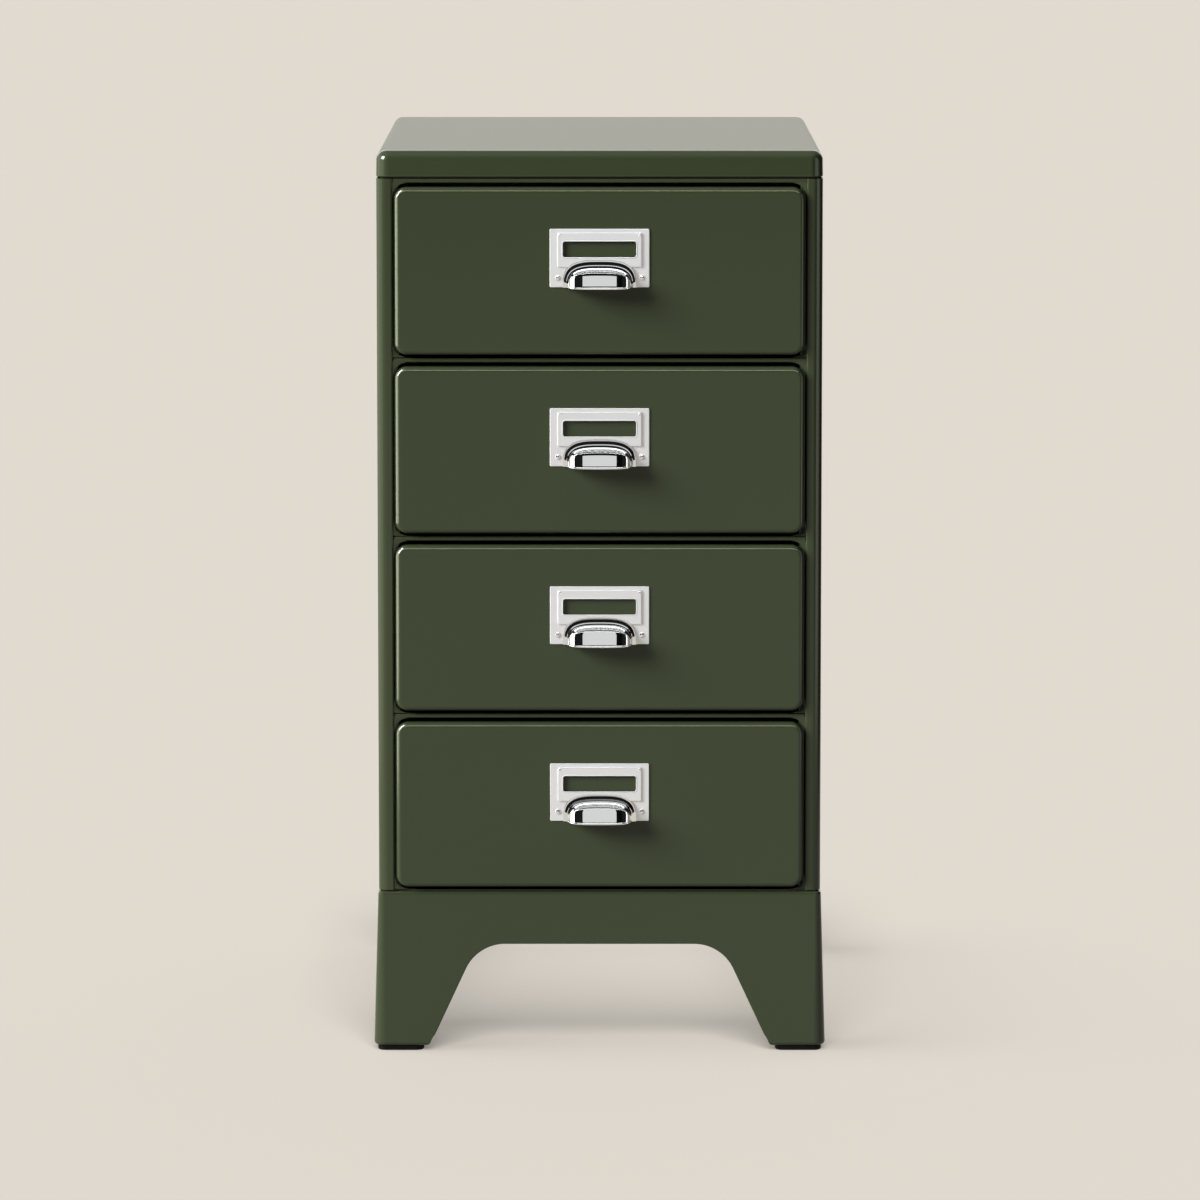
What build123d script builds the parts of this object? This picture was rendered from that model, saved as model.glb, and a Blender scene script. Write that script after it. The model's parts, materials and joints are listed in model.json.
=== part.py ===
"""Four-drawer archive cabinet in folded sheet steel, on a splayed plinth with rubber feet.

Millimetres, +Z up, +X to the right of someone facing the drawers, drawers open towards -Y.
The origin is on the floor, under the middle of the whole cabinet with its pulls.
"""

import os
from math import sqrt, tan, radians

from build123d import *

os.makedirs("parts", exist_ok=True)

# Carcass
bay_count = 4
bay_pitch = 129.0
body_width = 320.4
body_depth = 438.0
carcass_sheet = 0.8
post_face = 11.7
post_radius = 7.0
rear_corner_radius = 3.0
bend_radius = 1.6
rabbet_depth = 5.0
rabbet_width = 4.6
front_return = 24.0
rear_return = 24.0

# Lid, deck and base
seam_inset = 3.0
deck_sheet = 1.0
base_sheet = 1.0
lid_seam = 1.2
lid_overhang = 0.1
lid_height = 19.0
lid_sheet = 0.8
lid_corner_radius = 7.5
lid_edge_radius = 6.0
lid_rim_return = 7.0
stiffener_sheet = 0.8
stiffener_spacing = 176.0
stiffener_crown = 22.0
stiffener_flange = 12.0
stiffener_end_gap = 22.0
screw_shank_diameter = 4.0
screw_head_diameter = 7.6
screw_head_height = 2.4
lid_screw_length = 7.0
hole_clearance = 0.1

# Plinth and feet
foot_height = 4.0
foot_width = 33.5
foot_corner_radius = 6.0
foot_edge_radius = 1.4
foot_inset = 2.8
foot_stem_diameter = 8.0
foot_stem_length = 5.0
plinth_height = 113.0
plinth_sheet = 1.2
plinth_top_margin = 0.4
plinth_flare = 3.4
plinth_corner_radius = 8.0
plinth_bottom_radius = 2.5
plinth_top_radius = 2.2
plinth_flange = 22.0
leg_width = 40.0
leg_slant_degrees = 25.0
leg_toe_radius = 4.0
apron_height = 38.0
arch_radius = 32.0
arch_return = 9.0
bolt_shank_diameter = 6.0
bolt_across_flats = 10.0
bolt_head_height = 4.0
bolt_nut_height = 4.8
bolt_tip = 2.0
bolt_inset_x = 12.0
bolt_inset_y = 60.0

# Rails between the drawers
rail_height = 3.1
rail_depth = 26.0
rail_sheet = 1.0
rail_setback = 0.8
rail_nose_radius = 1.2
rail_end_gap = 0.2
rail_rabbet_gap = 0.3

# Back rivets
rivet_diameter = 3.2
rivet_head_diameter = 6.4
rivet_head_height = 1.2
rivet_tail = 2.0
back_rivet_rows = 5
back_rivet_margin = 30.0

# Drawer fronts
front_side_gap = 1.5
front_rail_gap = 2.7
front_proud = 4.5
front_rear_gap = 0.4
front_sheet = 0.8
front_corner_radius = 8.5
front_edge_radius = 3.4
front_hem = 6.0
liner_gap = 0.2

# Drawer trays and runners
tray_sheet = 0.7
tray_floor_gap = 10.0
tray_height = 98.0
tray_corner_radius = 3.0
tray_rear_gap = 14.0
tray_hem_height = 5.0
tray_hem_thickness = 1.4
runner_sheet = 1.2
runner_depth = 8.0
runner_height = 14.0
runner_lift = 6.0
runner_front_gap = 1.2
runner_rear_gap = 2.0
runner_tray_gap = 1.0
slide_gap = 0.35
slide_sheet = 1.2
slide_tip_gap = 1.7
slide_front_setback = 6.0
stop_tab_length = 4.0
stop_tab_gap = 0.5
stop_pin_diameter = 3.0
stop_clearance = 0.5
drawer_travel = 300.0
tray_screw_diameter = 3.5
tray_screw_head_diameter = 6.5
tray_screw_head_height = 1.8
tray_screw_tip = 3.0
tray_screw_spacing_x = 190.0
tray_screw_spacing_z = 60.0

# Label frame and cup pull
plate_width = 71.5
plate_height = 42.0
plate_sheet = 0.9
plate_corner_radius = 0.6
plate_drop = 29.6
pocket_width = 60.4
pocket_height = 24.7
pocket_top_margin = 2.7
pocket_step = 1.2
pocket_corner_radius = 1.0
window_width = 52.6
window_height = 11.3
window_drop = 12.0
window_radius = 1.5
pull_flange_width = 53.0
pull_flange_height = 19.8
pull_flange_sheet = 0.9
pull_flange_corner = 11.0
pull_cup_width = 46.0
pull_cup_height = 17.6
pull_cup_corner = 9.0
pull_crown_radius = 70.0
pull_wall = 1.1
pull_fit_gap = 0.3
pull_rivet_spacing = 60.4
pull_rivet_lift = 6.9
pull_rivet_diameter = 2.4
pull_rivet_head_diameter = 3.8
pull_rivet_head_height = 1.0
pull_rivet_tail = 1.5
pull_rivet_tail_diameter = 3.4

# Heights and depths that follow from the sizes above
plinth_bottom = foot_height
plinth_top = plinth_bottom + plinth_height
body_bottom = plinth_top + base_sheet
body_top = body_bottom + bay_count * bay_pitch
deck_top = body_top + deck_sheet
lid_bottom = body_top + lid_seam
lid_top = lid_bottom + lid_height
plate_reach = front_proud + plate_sheet
pull_reach = plate_reach + pull_cup_height
rear_reach = plinth_top_margin + plinth_flare
front_y = (pull_reach - rear_reach - body_depth) / 2
back_y = front_y + body_depth
middle_y = (front_y + back_y) / 2
rabbet_y = front_y + rabbet_depth
back_skin_y = back_y - carcass_sheet

# Half widths that follow from the sizes above
body_half = body_width / 2
opening_half = body_half - post_face
return_half = opening_half - rabbet_width
tray_half = return_half - runner_depth - runner_tray_gap

# Drawer positions that follow from the sizes above
front_width = 2 * (opening_half - front_side_gap)
front_height = bay_pitch - rail_height - 2 * front_rail_gap
front_face_y = front_y - front_proud
front_rear_y = rabbet_y - front_rear_gap
front_depth = front_rear_y - front_face_y
liner_rear_y = front_rear_y - front_sheet
tray_front_y = liner_rear_y
tray_rear_y = back_skin_y - tray_rear_gap
tray_length = tray_rear_y - tray_front_y
runner_front_y = rabbet_y + runner_front_gap
runner_rear_y = back_skin_y - carcass_sheet - runner_rear_gap
runner_length = runner_rear_y - runner_front_y
slide_front_y = runner_front_y + slide_front_setback
slide_rear_y = tray_rear_y
stop_pin_y = slide_rear_y - stop_tab_length - drawer_travel - stop_clearance - stop_pin_diameter / 2

sides = {"left": -1, "right": 1}


def upright_plane(y):
    """Vertical plane at depth y, facing the front, with local x to the right and local y upwards."""
    return Plane.XZ.offset(-y)


def bay_floor(number):
    """Height of the floor of a bay, where bay 1 is the top one."""
    return body_bottom + (bay_count - number) * bay_pitch


def save(builder, name):
    """Labels a finished piece and writes it to its own file."""
    builder.part.label = name
    export_step(builder.part, f"parts/{name}.step")


# Lid: a pressed pan with rounded edges and an in-turned rim
with BuildPart() as lid:
    lid_width = body_width + 2 * lid_overhang
    lid_depth = body_depth + 2 * lid_overhang
    with BuildSketch(Plane.XY.offset(lid_bottom)):
        with Locations((0, middle_y)):
            RectangleRounded(lid_width, lid_depth, lid_corner_radius)
    extrude(amount=lid_height)
    fillet(lid.faces().sort_by(Axis.Z)[-1].edges(), radius=lid_edge_radius)
    offset(amount=-lid_sheet, openings=lid.faces().sort_by(Axis.Z)[0])
    with BuildSketch(Plane.XY.offset(lid_bottom)):
        with Locations((0, middle_y)):
            RectangleRounded(lid_width - lid_sheet, lid_depth - lid_sheet, lid_corner_radius - lid_sheet / 2)
            Rectangle(lid_width - 2 * lid_rim_return, lid_depth - 2 * lid_rim_return, mode=Mode.SUBTRACT)
    extrude(amount=lid_sheet)
save(lid, "lid")

# Deck: a flat sheet that closes the top of the carcass under the lid
stiffener_length = body_depth - 2 * stiffener_end_gap
lid_screw_x = stiffener_spacing + stiffener_crown + stiffener_flange
lid_screw_y = stiffener_length - 2 * stiffener_end_gap
with BuildPart() as top_deck:
    with BuildSketch(Plane.XY.offset(body_top)):
        with Locations((0, middle_y)):
            Rectangle(body_width - 2 * seam_inset, body_depth - 2 * seam_inset)
            with GridLocations(lid_screw_x, lid_screw_y, 2, 2):
                Circle(screw_shank_diameter / 2 + hole_clearance, mode=Mode.SUBTRACT)
    extrude(amount=deck_sheet)
save(top_deck, "top_deck")

# Lid stiffeners: two hat sections from front to back, which hold the lid off the deck
with BuildPart() as lid_stiffeners:
    stiffener_height = lid_top - lid_sheet - deck_top
    with BuildSketch(upright_plane(middle_y - stiffener_length / 2)):
        with Locations((-stiffener_spacing / 2, deck_top), (stiffener_spacing / 2, deck_top)):
            Rectangle(stiffener_crown, stiffener_height, align=(Align.CENTER, Align.MIN))
            Rectangle(stiffener_crown + 2 * stiffener_flange, stiffener_sheet, align=(Align.CENTER, Align.MIN))
            Rectangle(
                stiffener_crown - 2 * stiffener_sheet,
                stiffener_height - stiffener_sheet,
                align=(Align.CENTER, Align.MIN),
                mode=Mode.SUBTRACT,
            )
    extrude(amount=-stiffener_length)
    with BuildSketch(Plane.XY.offset(deck_top)):
        with Locations((0, middle_y)):
            with GridLocations(lid_screw_x, lid_screw_y, 2, 2):
                Circle(screw_shank_diameter / 2 + hole_clearance)
    extrude(amount=stiffener_sheet, mode=Mode.SUBTRACT)
save(lid_stiffeners, "lid_stiffeners")

# Lid screws: from under the deck into the stiffeners' outer flanges
with BuildPart() as lid_screws:
    with BuildSketch(Plane.XY.offset(body_top - screw_head_height)):
        with Locations((0, middle_y)):
            with GridLocations(lid_screw_x, lid_screw_y, 2, 2):
                Circle(screw_head_diameter / 2)
    extrude(amount=screw_head_height)
    fillet(lid_screws.faces().group_by(Axis.Z)[0].edges(), radius=screw_head_height / 3)
    with BuildSketch(Plane.XY.offset(body_top)):
        with Locations((0, middle_y)):
            with GridLocations(lid_screw_x, lid_screw_y, 2, 2):
                Circle(screw_shank_diameter / 2)
    extrude(amount=lid_screw_length)
save(lid_screws, "lid_screws")

# Side panels: one sheet each, folded into the rear return, the side, the round front post and its rabbet
for side_name, side in sides.items():
    with BuildPart() as side_panel:
        with BuildSketch(Plane.XY.offset(body_bottom)):
            with BuildLine():
                FilletPolyline(
                    (side * return_half, rabbet_y + front_return),
                    (side * return_half, rabbet_y),
                    (side * opening_half, rabbet_y),
                    (side * opening_half, front_y),
                    (side * body_half, front_y),
                    (side * body_half, back_skin_y),
                    (side * return_half, back_skin_y),
                    (side * return_half, back_skin_y - rear_return),
                    radius=[
                        bend_radius,
                        bend_radius - carcass_sheet,
                        bend_radius,
                        post_radius,
                        rear_corner_radius,
                        bend_radius,
                    ],
                )
                offset(amount=carcass_sheet, side=Side.LEFT if side > 0 else Side.RIGHT)
            make_face()
        extrude(amount=body_top - body_bottom)
        with BuildSketch(upright_plane(back_skin_y)):
            with Locations((side * (body_half + return_half) / 2, (body_bottom + body_top) / 2)):
                back_rivet_pitch = (body_top - body_bottom - 2 * back_rivet_margin) / (back_rivet_rows - 1)
                with GridLocations(1, back_rivet_pitch, 1, back_rivet_rows):
                    Circle(rivet_diameter / 2 + hole_clearance)
        extrude(amount=carcass_sheet, mode=Mode.SUBTRACT)
    save(side_panel, f"side_panel_{side_name}")

# Back panel: a flat sheet over the rear returns
back_rivet_spacing = body_half + return_half
with BuildPart() as back_panel:
    with BuildSketch(upright_plane(back_y)):
        with Locations((0, (body_bottom + body_top) / 2)):
            Rectangle(body_width - 2 * rear_corner_radius, body_top - body_bottom)
            with GridLocations(back_rivet_spacing, back_rivet_pitch, 2, back_rivet_rows):
                Circle(rivet_diameter / 2 + hole_clearance, mode=Mode.SUBTRACT)
    extrude(amount=carcass_sheet)
save(back_panel, "back_panel")

# Back rivets: round heads outside, tails inside the rear returns
with BuildPart() as back_rivets:
    with BuildSketch(upright_plane(back_y + rivet_head_height)):
        with Locations((0, (body_bottom + body_top) / 2)):
            with GridLocations(back_rivet_spacing, back_rivet_pitch, 2, back_rivet_rows):
                Circle(rivet_head_diameter / 2)
    extrude(amount=rivet_head_height)
    fillet(back_rivets.faces().group_by(Axis.Y)[-1].edges(), radius=rivet_head_height / 2)
    with BuildSketch(upright_plane(back_y)):
        with Locations((0, (body_bottom + body_top) / 2)):
            with GridLocations(back_rivet_spacing, back_rivet_pitch, 2, back_rivet_rows):
                Circle(rivet_diameter / 2)
    extrude(amount=2 * carcass_sheet + rivet_tail)
save(back_rivets, "back_rivets")

# Rails: a hemmed strip under each bay's ceiling, notched at its ends to pass behind the rabbets
for number in range(1, bay_count + 1):
    with BuildPart() as rail:
        rail_top = bay_floor(number) + bay_pitch
        rail_front_y = front_y + rail_setback
        with BuildSketch(Plane.YZ.offset(-opening_half + rail_end_gap)):
            with BuildLine():
                FilletPolyline(
                    (rail_front_y + rail_depth, rail_top),
                    (rail_front_y, rail_top),
                    (rail_front_y, rail_top - rail_height),
                    (rail_front_y + rail_depth, rail_top - rail_height),
                    radius=rail_nose_radius,
                )
                offset(amount=rail_sheet, side=Side.LEFT)
            make_face()
        extrude(amount=2 * (opening_half - rail_end_gap))
        with BuildSketch(Plane.XY.offset(rail_top - rail_height)):
            for side in sides.values():
                with Locations((side * opening_half, rabbet_y - rail_rabbet_gap)):
                    Rectangle(
                        2 * (rabbet_width + rail_end_gap),
                        2 * rail_depth,
                        align=(Align.CENTER, Align.MIN),
                    )
        extrude(amount=rail_height, mode=Mode.SUBTRACT)
    save(rail, "top_rail" if number == 1 else f"divider_rail_{number - 1}")

# Base pan: a flat sheet between the carcass and the plinth
bolt_x = body_width - 2 * (seam_inset + bolt_inset_x)
bolt_y = body_depth - 2 * (seam_inset + bolt_inset_y)
with BuildPart() as base_pan:
    with BuildSketch(Plane.XY.offset(plinth_top)):
        with Locations((0, middle_y)):
            Rectangle(body_width - 2 * seam_inset, body_depth - 2 * seam_inset)
            with GridLocations(bolt_x, bolt_y, 2, 2):
                Circle(bolt_shank_diameter / 2 + hole_clearance, mode=Mode.SUBTRACT)
    extrude(amount=base_sheet)
save(base_pan, "base_pan")

# Plinth: a splayed skirt with closed leg bottoms and a flanged arch through each of its sides
plinth_bottom_margin = plinth_top_margin + plinth_flare
plinth_bottom_width = body_width + 2 * plinth_bottom_margin
plinth_bottom_depth = body_depth + 2 * plinth_bottom_margin
plinth_taper = Vector(plinth_height, plinth_flare).get_angle(Vector(1, 0))
foot_offset_x = plinth_bottom_width / 2 - foot_inset - foot_width / 2
foot_offset_y = plinth_bottom_depth / 2 - foot_inset - foot_width / 2
front_arch_plane = upright_plane(middle_y)
side_arch_plane = Plane(origin=(0, middle_y, 0), x_dir=(0, 1, 0), z_dir=(1, 0, 0))


def arch_outline(span, margin):
    """Sketch of one arch: slanted legs, round shoulders, and round toes where the legs end.

    Its origin is on the floor under the arch's middle. The margin widens the arch all round.
    """
    crown_height = plinth_top - apron_height
    slant = tan(radians(leg_slant_degrees))
    toe_half = span / 2 - leg_width + margin * (sqrt(1 + slant**2) + slant)
    crown_half = toe_half - (crown_height + margin - plinth_bottom) * slant
    outer_half = span / 2 - leg_width / 2
    with BuildSketch() as arch:
        with BuildLine():
            FilletPolyline(
                (-outer_half, -foot_height),
                (-outer_half, plinth_bottom),
                (-toe_half, plinth_bottom),
                (-crown_half, crown_height + margin),
                (crown_half, crown_height + margin),
                (toe_half, plinth_bottom),
                (outer_half, plinth_bottom),
                (outer_half, -foot_height),
                radius=[
                    0,
                    leg_toe_radius - margin,
                    arch_radius + margin,
                    arch_radius + margin,
                    leg_toe_radius - margin,
                    0,
                ],
            )
            Line((outer_half, -foot_height), (-outer_half, -foot_height))
        make_face()
    return arch.sketch


# The hollow inside the skirt leaves the walls, the leg bottoms and the arches' in-turned flanges
with BuildPart() as plinth_hollow:
    with BuildSketch(Plane.XY.offset(plinth_bottom + plinth_sheet)):
        with Locations((0, middle_y)):
            RectangleRounded(
                plinth_bottom_width - 2 * plinth_sheet,
                plinth_bottom_depth - 2 * plinth_sheet,
                plinth_corner_radius - plinth_sheet,
            )
    extrude(amount=plinth_height - 2 * plinth_sheet, taper=plinth_taper)
    for arch_plane, arch_span, arch_reach in (
        (front_arch_plane, plinth_bottom_width, plinth_bottom_depth / 2 - arch_return),
        (side_arch_plane, plinth_bottom_depth, plinth_bottom_width / 2 - arch_return),
    ):
        for way in sides.values():
            with BuildSketch(arch_plane.offset(way * arch_reach)):
                add(arch_outline(arch_span, plinth_sheet))
                add(arch_outline(arch_span, 0), mode=Mode.SUBTRACT)
            extrude(amount=way * 2 * arch_return, mode=Mode.SUBTRACT)

with BuildPart() as plinth:
    with BuildSketch(Plane.XY.offset(plinth_bottom)):
        with Locations((0, middle_y)):
            RectangleRounded(plinth_bottom_width, plinth_bottom_depth, plinth_corner_radius)
    extrude(amount=plinth_height, taper=plinth_taper)
    fillet(plinth.faces().sort_by(Axis.Z)[0].edges(), radius=plinth_bottom_radius)
    fillet(plinth.faces().sort_by(Axis.Z)[-1].edges(), radius=plinth_top_radius)
    add(plinth_hollow.part, mode=Mode.SUBTRACT)
    with BuildSketch(Plane.XY.offset(plinth_top)):
        with Locations((0, middle_y)):
            Rectangle(body_width - 2 * plinth_flange, body_depth - 2 * plinth_flange)
            with GridLocations(bolt_x, bolt_y, 2, 2):
                Circle(bolt_shank_diameter / 2 + hole_clearance)
    extrude(amount=-plinth_sheet, mode=Mode.SUBTRACT)
    with BuildSketch(front_arch_plane):
        add(arch_outline(plinth_bottom_width, 0))
    extrude(amount=plinth_bottom_depth, both=True, mode=Mode.SUBTRACT)
    with BuildSketch(side_arch_plane):
        add(arch_outline(plinth_bottom_depth, 0))
    extrude(amount=plinth_bottom_width, both=True, mode=Mode.SUBTRACT)
    with BuildSketch(Plane.XY.offset(plinth_bottom)):
        with Locations((0, middle_y)):
            with GridLocations(2 * foot_offset_x, 2 * foot_offset_y, 2, 2):
                Circle(foot_stem_diameter / 2 + hole_clearance)
    extrude(amount=plinth_sheet, mode=Mode.SUBTRACT)
save(plinth, "plinth")

# Plinth bolts and nuts: through the base pan and the plinth's top flange
with BuildPart() as plinth_bolts:
    with BuildSketch(Plane.XY.offset(body_bottom)):
        with Locations((0, middle_y)):
            with GridLocations(bolt_x, bolt_y, 2, 2):
                RegularPolygon(bolt_across_flats / 2, 6, major_radius=False)
    extrude(amount=bolt_head_height)
    with BuildSketch(Plane.XY.offset(body_bottom)):
        with Locations((0, middle_y)):
            with GridLocations(bolt_x, bolt_y, 2, 2):
                Circle(bolt_shank_diameter / 2)
    extrude(amount=-(base_sheet + plinth_sheet + bolt_nut_height + bolt_tip))
save(plinth_bolts, "plinth_bolts")

with BuildPart() as plinth_nuts:
    with BuildSketch(Plane.XY.offset(plinth_top - plinth_sheet)):
        with Locations((0, middle_y)):
            with GridLocations(bolt_x, bolt_y, 2, 2):
                RegularPolygon(bolt_across_flats / 2, 6, major_radius=False)
                Circle(bolt_shank_diameter / 2 + hole_clearance / 2, mode=Mode.SUBTRACT)
    extrude(amount=-bolt_nut_height)
save(plinth_nuts, "plinth_nuts")

# Rubber feet: rounded pads under the legs, each with a push-in stem
feet = {"front_left": (-1, -1), "front_right": (1, -1), "rear_left": (-1, 1), "rear_right": (1, 1)}
for foot_name, (foot_x, foot_y) in feet.items():
    with BuildPart() as foot:
        foot_centre = (foot_x * foot_offset_x, middle_y + foot_y * foot_offset_y)
        with BuildSketch(Plane.XY):
            with Locations(foot_centre):
                RectangleRounded(foot_width, foot_width, foot_corner_radius)
        extrude(amount=foot_height)
        fillet(foot.faces().sort_by(Axis.Z)[0].edges(), radius=foot_edge_radius)
        with BuildSketch(Plane.XY.offset(foot_height)):
            with Locations(foot_centre):
                Circle(foot_stem_diameter / 2)
        extrude(amount=foot_stem_length)
    save(foot, f"rubber_foot_{foot_name}")

# Fixed runners: a C channel on each side of every bay, open towards the tray, with its stop pin
for number in range(1, bay_count + 1):
    runner_bottom = bay_floor(number) + tray_floor_gap + runner_lift
    with BuildPart() as runner_pair:
        with BuildSketch(upright_plane(runner_front_y)):
            for side in sides.values():
                with Locations((side * (return_half - runner_depth / 2), runner_bottom + runner_height / 2)):
                    Rectangle(runner_depth, runner_height)
                with Locations(
                    (side * (return_half - runner_depth / 2 - runner_sheet), runner_bottom + runner_height / 2)
                ):
                    Rectangle(runner_depth, runner_height - 2 * runner_sheet, mode=Mode.SUBTRACT)
        extrude(amount=-runner_length)
        for side in sides.values():
            pin_plane = Plane(
                origin=(side * (return_half - runner_sheet), stop_pin_y, runner_bottom + runner_height / 2),
                x_dir=(0, 1, 0),
                z_dir=(-side, 0, 0),
            )
            with BuildSketch(pin_plane):
                Circle(stop_pin_diameter / 2)
            extrude(amount=slide_tip_gap - stop_tab_gap / 2)
    save(runner_pair, f"runner_pair_{number}")


def arch_face(width, height, corner_radius):
    """Sketch of a flat-bottomed arch: upright sides, round shoulders and a shallow round crown.

    Its origin is at the middle of the flat bottom.
    """
    half = width / 2
    shoulder_x = half - corner_radius
    crown_y = height - pull_crown_radius
    shoulder_y = crown_y + sqrt((pull_crown_radius - corner_radius) ** 2 - shoulder_x**2)
    lean = Vector(shoulder_x, shoulder_y - crown_y).normalized()
    right_join = (lean.X * pull_crown_radius, crown_y + lean.Y * pull_crown_radius)
    left_join = (-right_join[0], right_join[1])
    with BuildSketch() as arch:
        with BuildLine():
            Line((-half, 0), (half, 0))
            Line((half, 0), (half, shoulder_y))
            RadiusArc((half, shoulder_y), right_join, -corner_radius)
            RadiusArc(right_join, left_join, -pull_crown_radius)
            RadiusArc(left_join, (-half, shoulder_y), -corner_radius)
            Line((-half, shoulder_y), (-half, 0))
        make_face()
    return arch.sketch


# Drawers, from the top one down
for number in range(1, bay_count + 1):
    floor_z = bay_floor(number)
    front_bottom = floor_z + front_rail_gap
    front_middle = front_bottom + front_height / 2
    plate_top = front_bottom + front_height - plate_drop
    plate_bottom = plate_top - plate_height
    pull_rivet_z = plate_bottom + pull_rivet_lift
    tray_bottom = floor_z + tray_floor_gap
    tray_screw_z = tray_bottom + tray_height / 2

    # Drawer front: a pressed pan with a hem round its open back
    with BuildPart() as drawer_front:
        with BuildSketch(upright_plane(front_rear_y)):
            with Locations((0, front_middle)):
                RectangleRounded(front_width, front_height, front_corner_radius)
        extrude(amount=front_depth)
        fillet(drawer_front.faces().sort_by(Axis.Y)[0].edges(), radius=front_edge_radius)
        offset(amount=-front_sheet, openings=drawer_front.faces().sort_by(Axis.Y)[-1])
        with BuildSketch(upright_plane(front_rear_y)):
            with Locations((0, front_middle)):
                RectangleRounded(
                    front_width - front_sheet,
                    front_height - front_sheet,
                    front_corner_radius - front_sheet / 2,
                )
                RectangleRounded(
                    front_width - 2 * front_hem,
                    front_height - 2 * front_hem,
                    front_corner_radius - front_hem,
                    mode=Mode.SUBTRACT,
                )
        extrude(amount=front_sheet)
        with BuildSketch(upright_plane(front_face_y)):
            with Locations((0, pull_rivet_z)):
                with GridLocations(pull_rivet_spacing, 1, 2, 1):
                    Circle(pull_rivet_diameter / 2 + hole_clearance)
        extrude(amount=-front_sheet, mode=Mode.SUBTRACT)
    save(drawer_front, f"drawer_front_{number}")

    # Front liner: the inner skin, held in front of the pan's hem
    with BuildPart() as front_liner:
        with BuildSketch(upright_plane(liner_rear_y)):
            with Locations((0, front_middle)):
                RectangleRounded(
                    front_width - 2 * (front_sheet + liner_gap),
                    front_height - 2 * (front_sheet + liner_gap),
                    front_corner_radius - front_sheet - liner_gap,
                )
            with Locations((0, tray_screw_z)):
                with GridLocations(tray_screw_spacing_x, tray_screw_spacing_z, 2, 2):
                    Circle(tray_screw_diameter / 2 + hole_clearance, mode=Mode.SUBTRACT)
        extrude(amount=front_sheet)
    save(front_liner, f"front_liner_{number}")

    # Tray: an open box with an inward hem round its top edge
    with BuildPart() as drawer_tray:
        tray_middle = (0, (tray_front_y + tray_rear_y) / 2)
        with BuildSketch(Plane.XY.offset(tray_bottom)):
            with Locations(tray_middle):
                RectangleRounded(2 * tray_half, tray_length, tray_corner_radius)
        extrude(amount=tray_height)
        with BuildSketch(Plane.XY.offset(tray_bottom + tray_sheet)):
            with Locations(tray_middle):
                RectangleRounded(
                    2 * (tray_half - tray_sheet),
                    tray_length - 2 * tray_sheet,
                    tray_corner_radius - tray_sheet,
                )
        extrude(amount=tray_height - tray_sheet - tray_hem_height, mode=Mode.SUBTRACT)
        with BuildSketch(Plane.XY.offset(tray_bottom + tray_height - tray_hem_height)):
            with Locations(tray_middle):
                RectangleRounded(
                    2 * (tray_half - tray_hem_thickness),
                    tray_length - 2 * tray_hem_thickness,
                    tray_corner_radius - tray_hem_thickness,
                )
        extrude(amount=tray_hem_height, mode=Mode.SUBTRACT)
        with BuildSketch(upright_plane(tray_front_y)):
            with Locations((0, tray_screw_z)):
                with GridLocations(tray_screw_spacing_x, tray_screw_spacing_z, 2, 2):
                    Circle(tray_screw_diameter / 2 + hole_clearance)
        extrude(amount=-tray_sheet, mode=Mode.SUBTRACT)
    save(drawer_tray, f"drawer_tray_{number}")

    # Tray screws: heads inside the tray, tips in the hollow drawer front
    with BuildPart() as tray_screws:
        with BuildSketch(upright_plane(tray_front_y + tray_sheet)):
            with Locations((0, tray_screw_z)):
                with GridLocations(tray_screw_spacing_x, tray_screw_spacing_z, 2, 2):
                    Circle(tray_screw_head_diameter / 2)
        extrude(amount=-tray_screw_head_height)
        fillet(tray_screws.faces().group_by(Axis.Y)[-1].edges(), radius=tray_screw_head_height / 2)
        with BuildSketch(upright_plane(tray_front_y + tray_sheet)):
            with Locations((0, tray_screw_z)):
                with GridLocations(tray_screw_spacing_x, tray_screw_spacing_z, 2, 2):
                    Circle(tray_screw_diameter / 2)
        extrude(amount=tray_sheet + front_sheet + tray_screw_tip)
    save(tray_screws, f"tray_screws_{number}")

    # Drawer rails: a C channel on each side of the tray, inside the fixed runner, with a rear stop tab
    with BuildPart() as drawer_rails:
        slide_bottom = tray_bottom + runner_lift + runner_sheet + slide_gap
        slide_height = runner_height - 2 * (runner_sheet + slide_gap)
        slide_reach = return_half - runner_sheet - slide_tip_gap - tray_half
        with BuildSketch(upright_plane(slide_front_y)):
            for side in sides.values():
                with Locations((side * (tray_half + slide_reach / 2), slide_bottom + slide_height / 2)):
                    Rectangle(slide_reach, slide_height)
                with Locations(
                    (side * (tray_half + slide_reach / 2 + slide_sheet), slide_bottom + slide_height / 2)
                ):
                    Rectangle(slide_reach, slide_height - 2 * slide_sheet, mode=Mode.SUBTRACT)
        extrude(amount=-(slide_rear_y - slide_front_y))
        with BuildSketch(upright_plane(slide_rear_y - stop_tab_length)):
            tab_reach = slide_reach + slide_tip_gap - stop_tab_gap
            for side in sides.values():
                with Locations((side * (tray_half + tab_reach / 2), slide_bottom + slide_height / 2)):
                    Rectangle(tab_reach, slide_height - 2 * slide_sheet)
        extrude(amount=-stop_tab_length)
    save(drawer_rails, f"drawer_rails_{number}")

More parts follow.
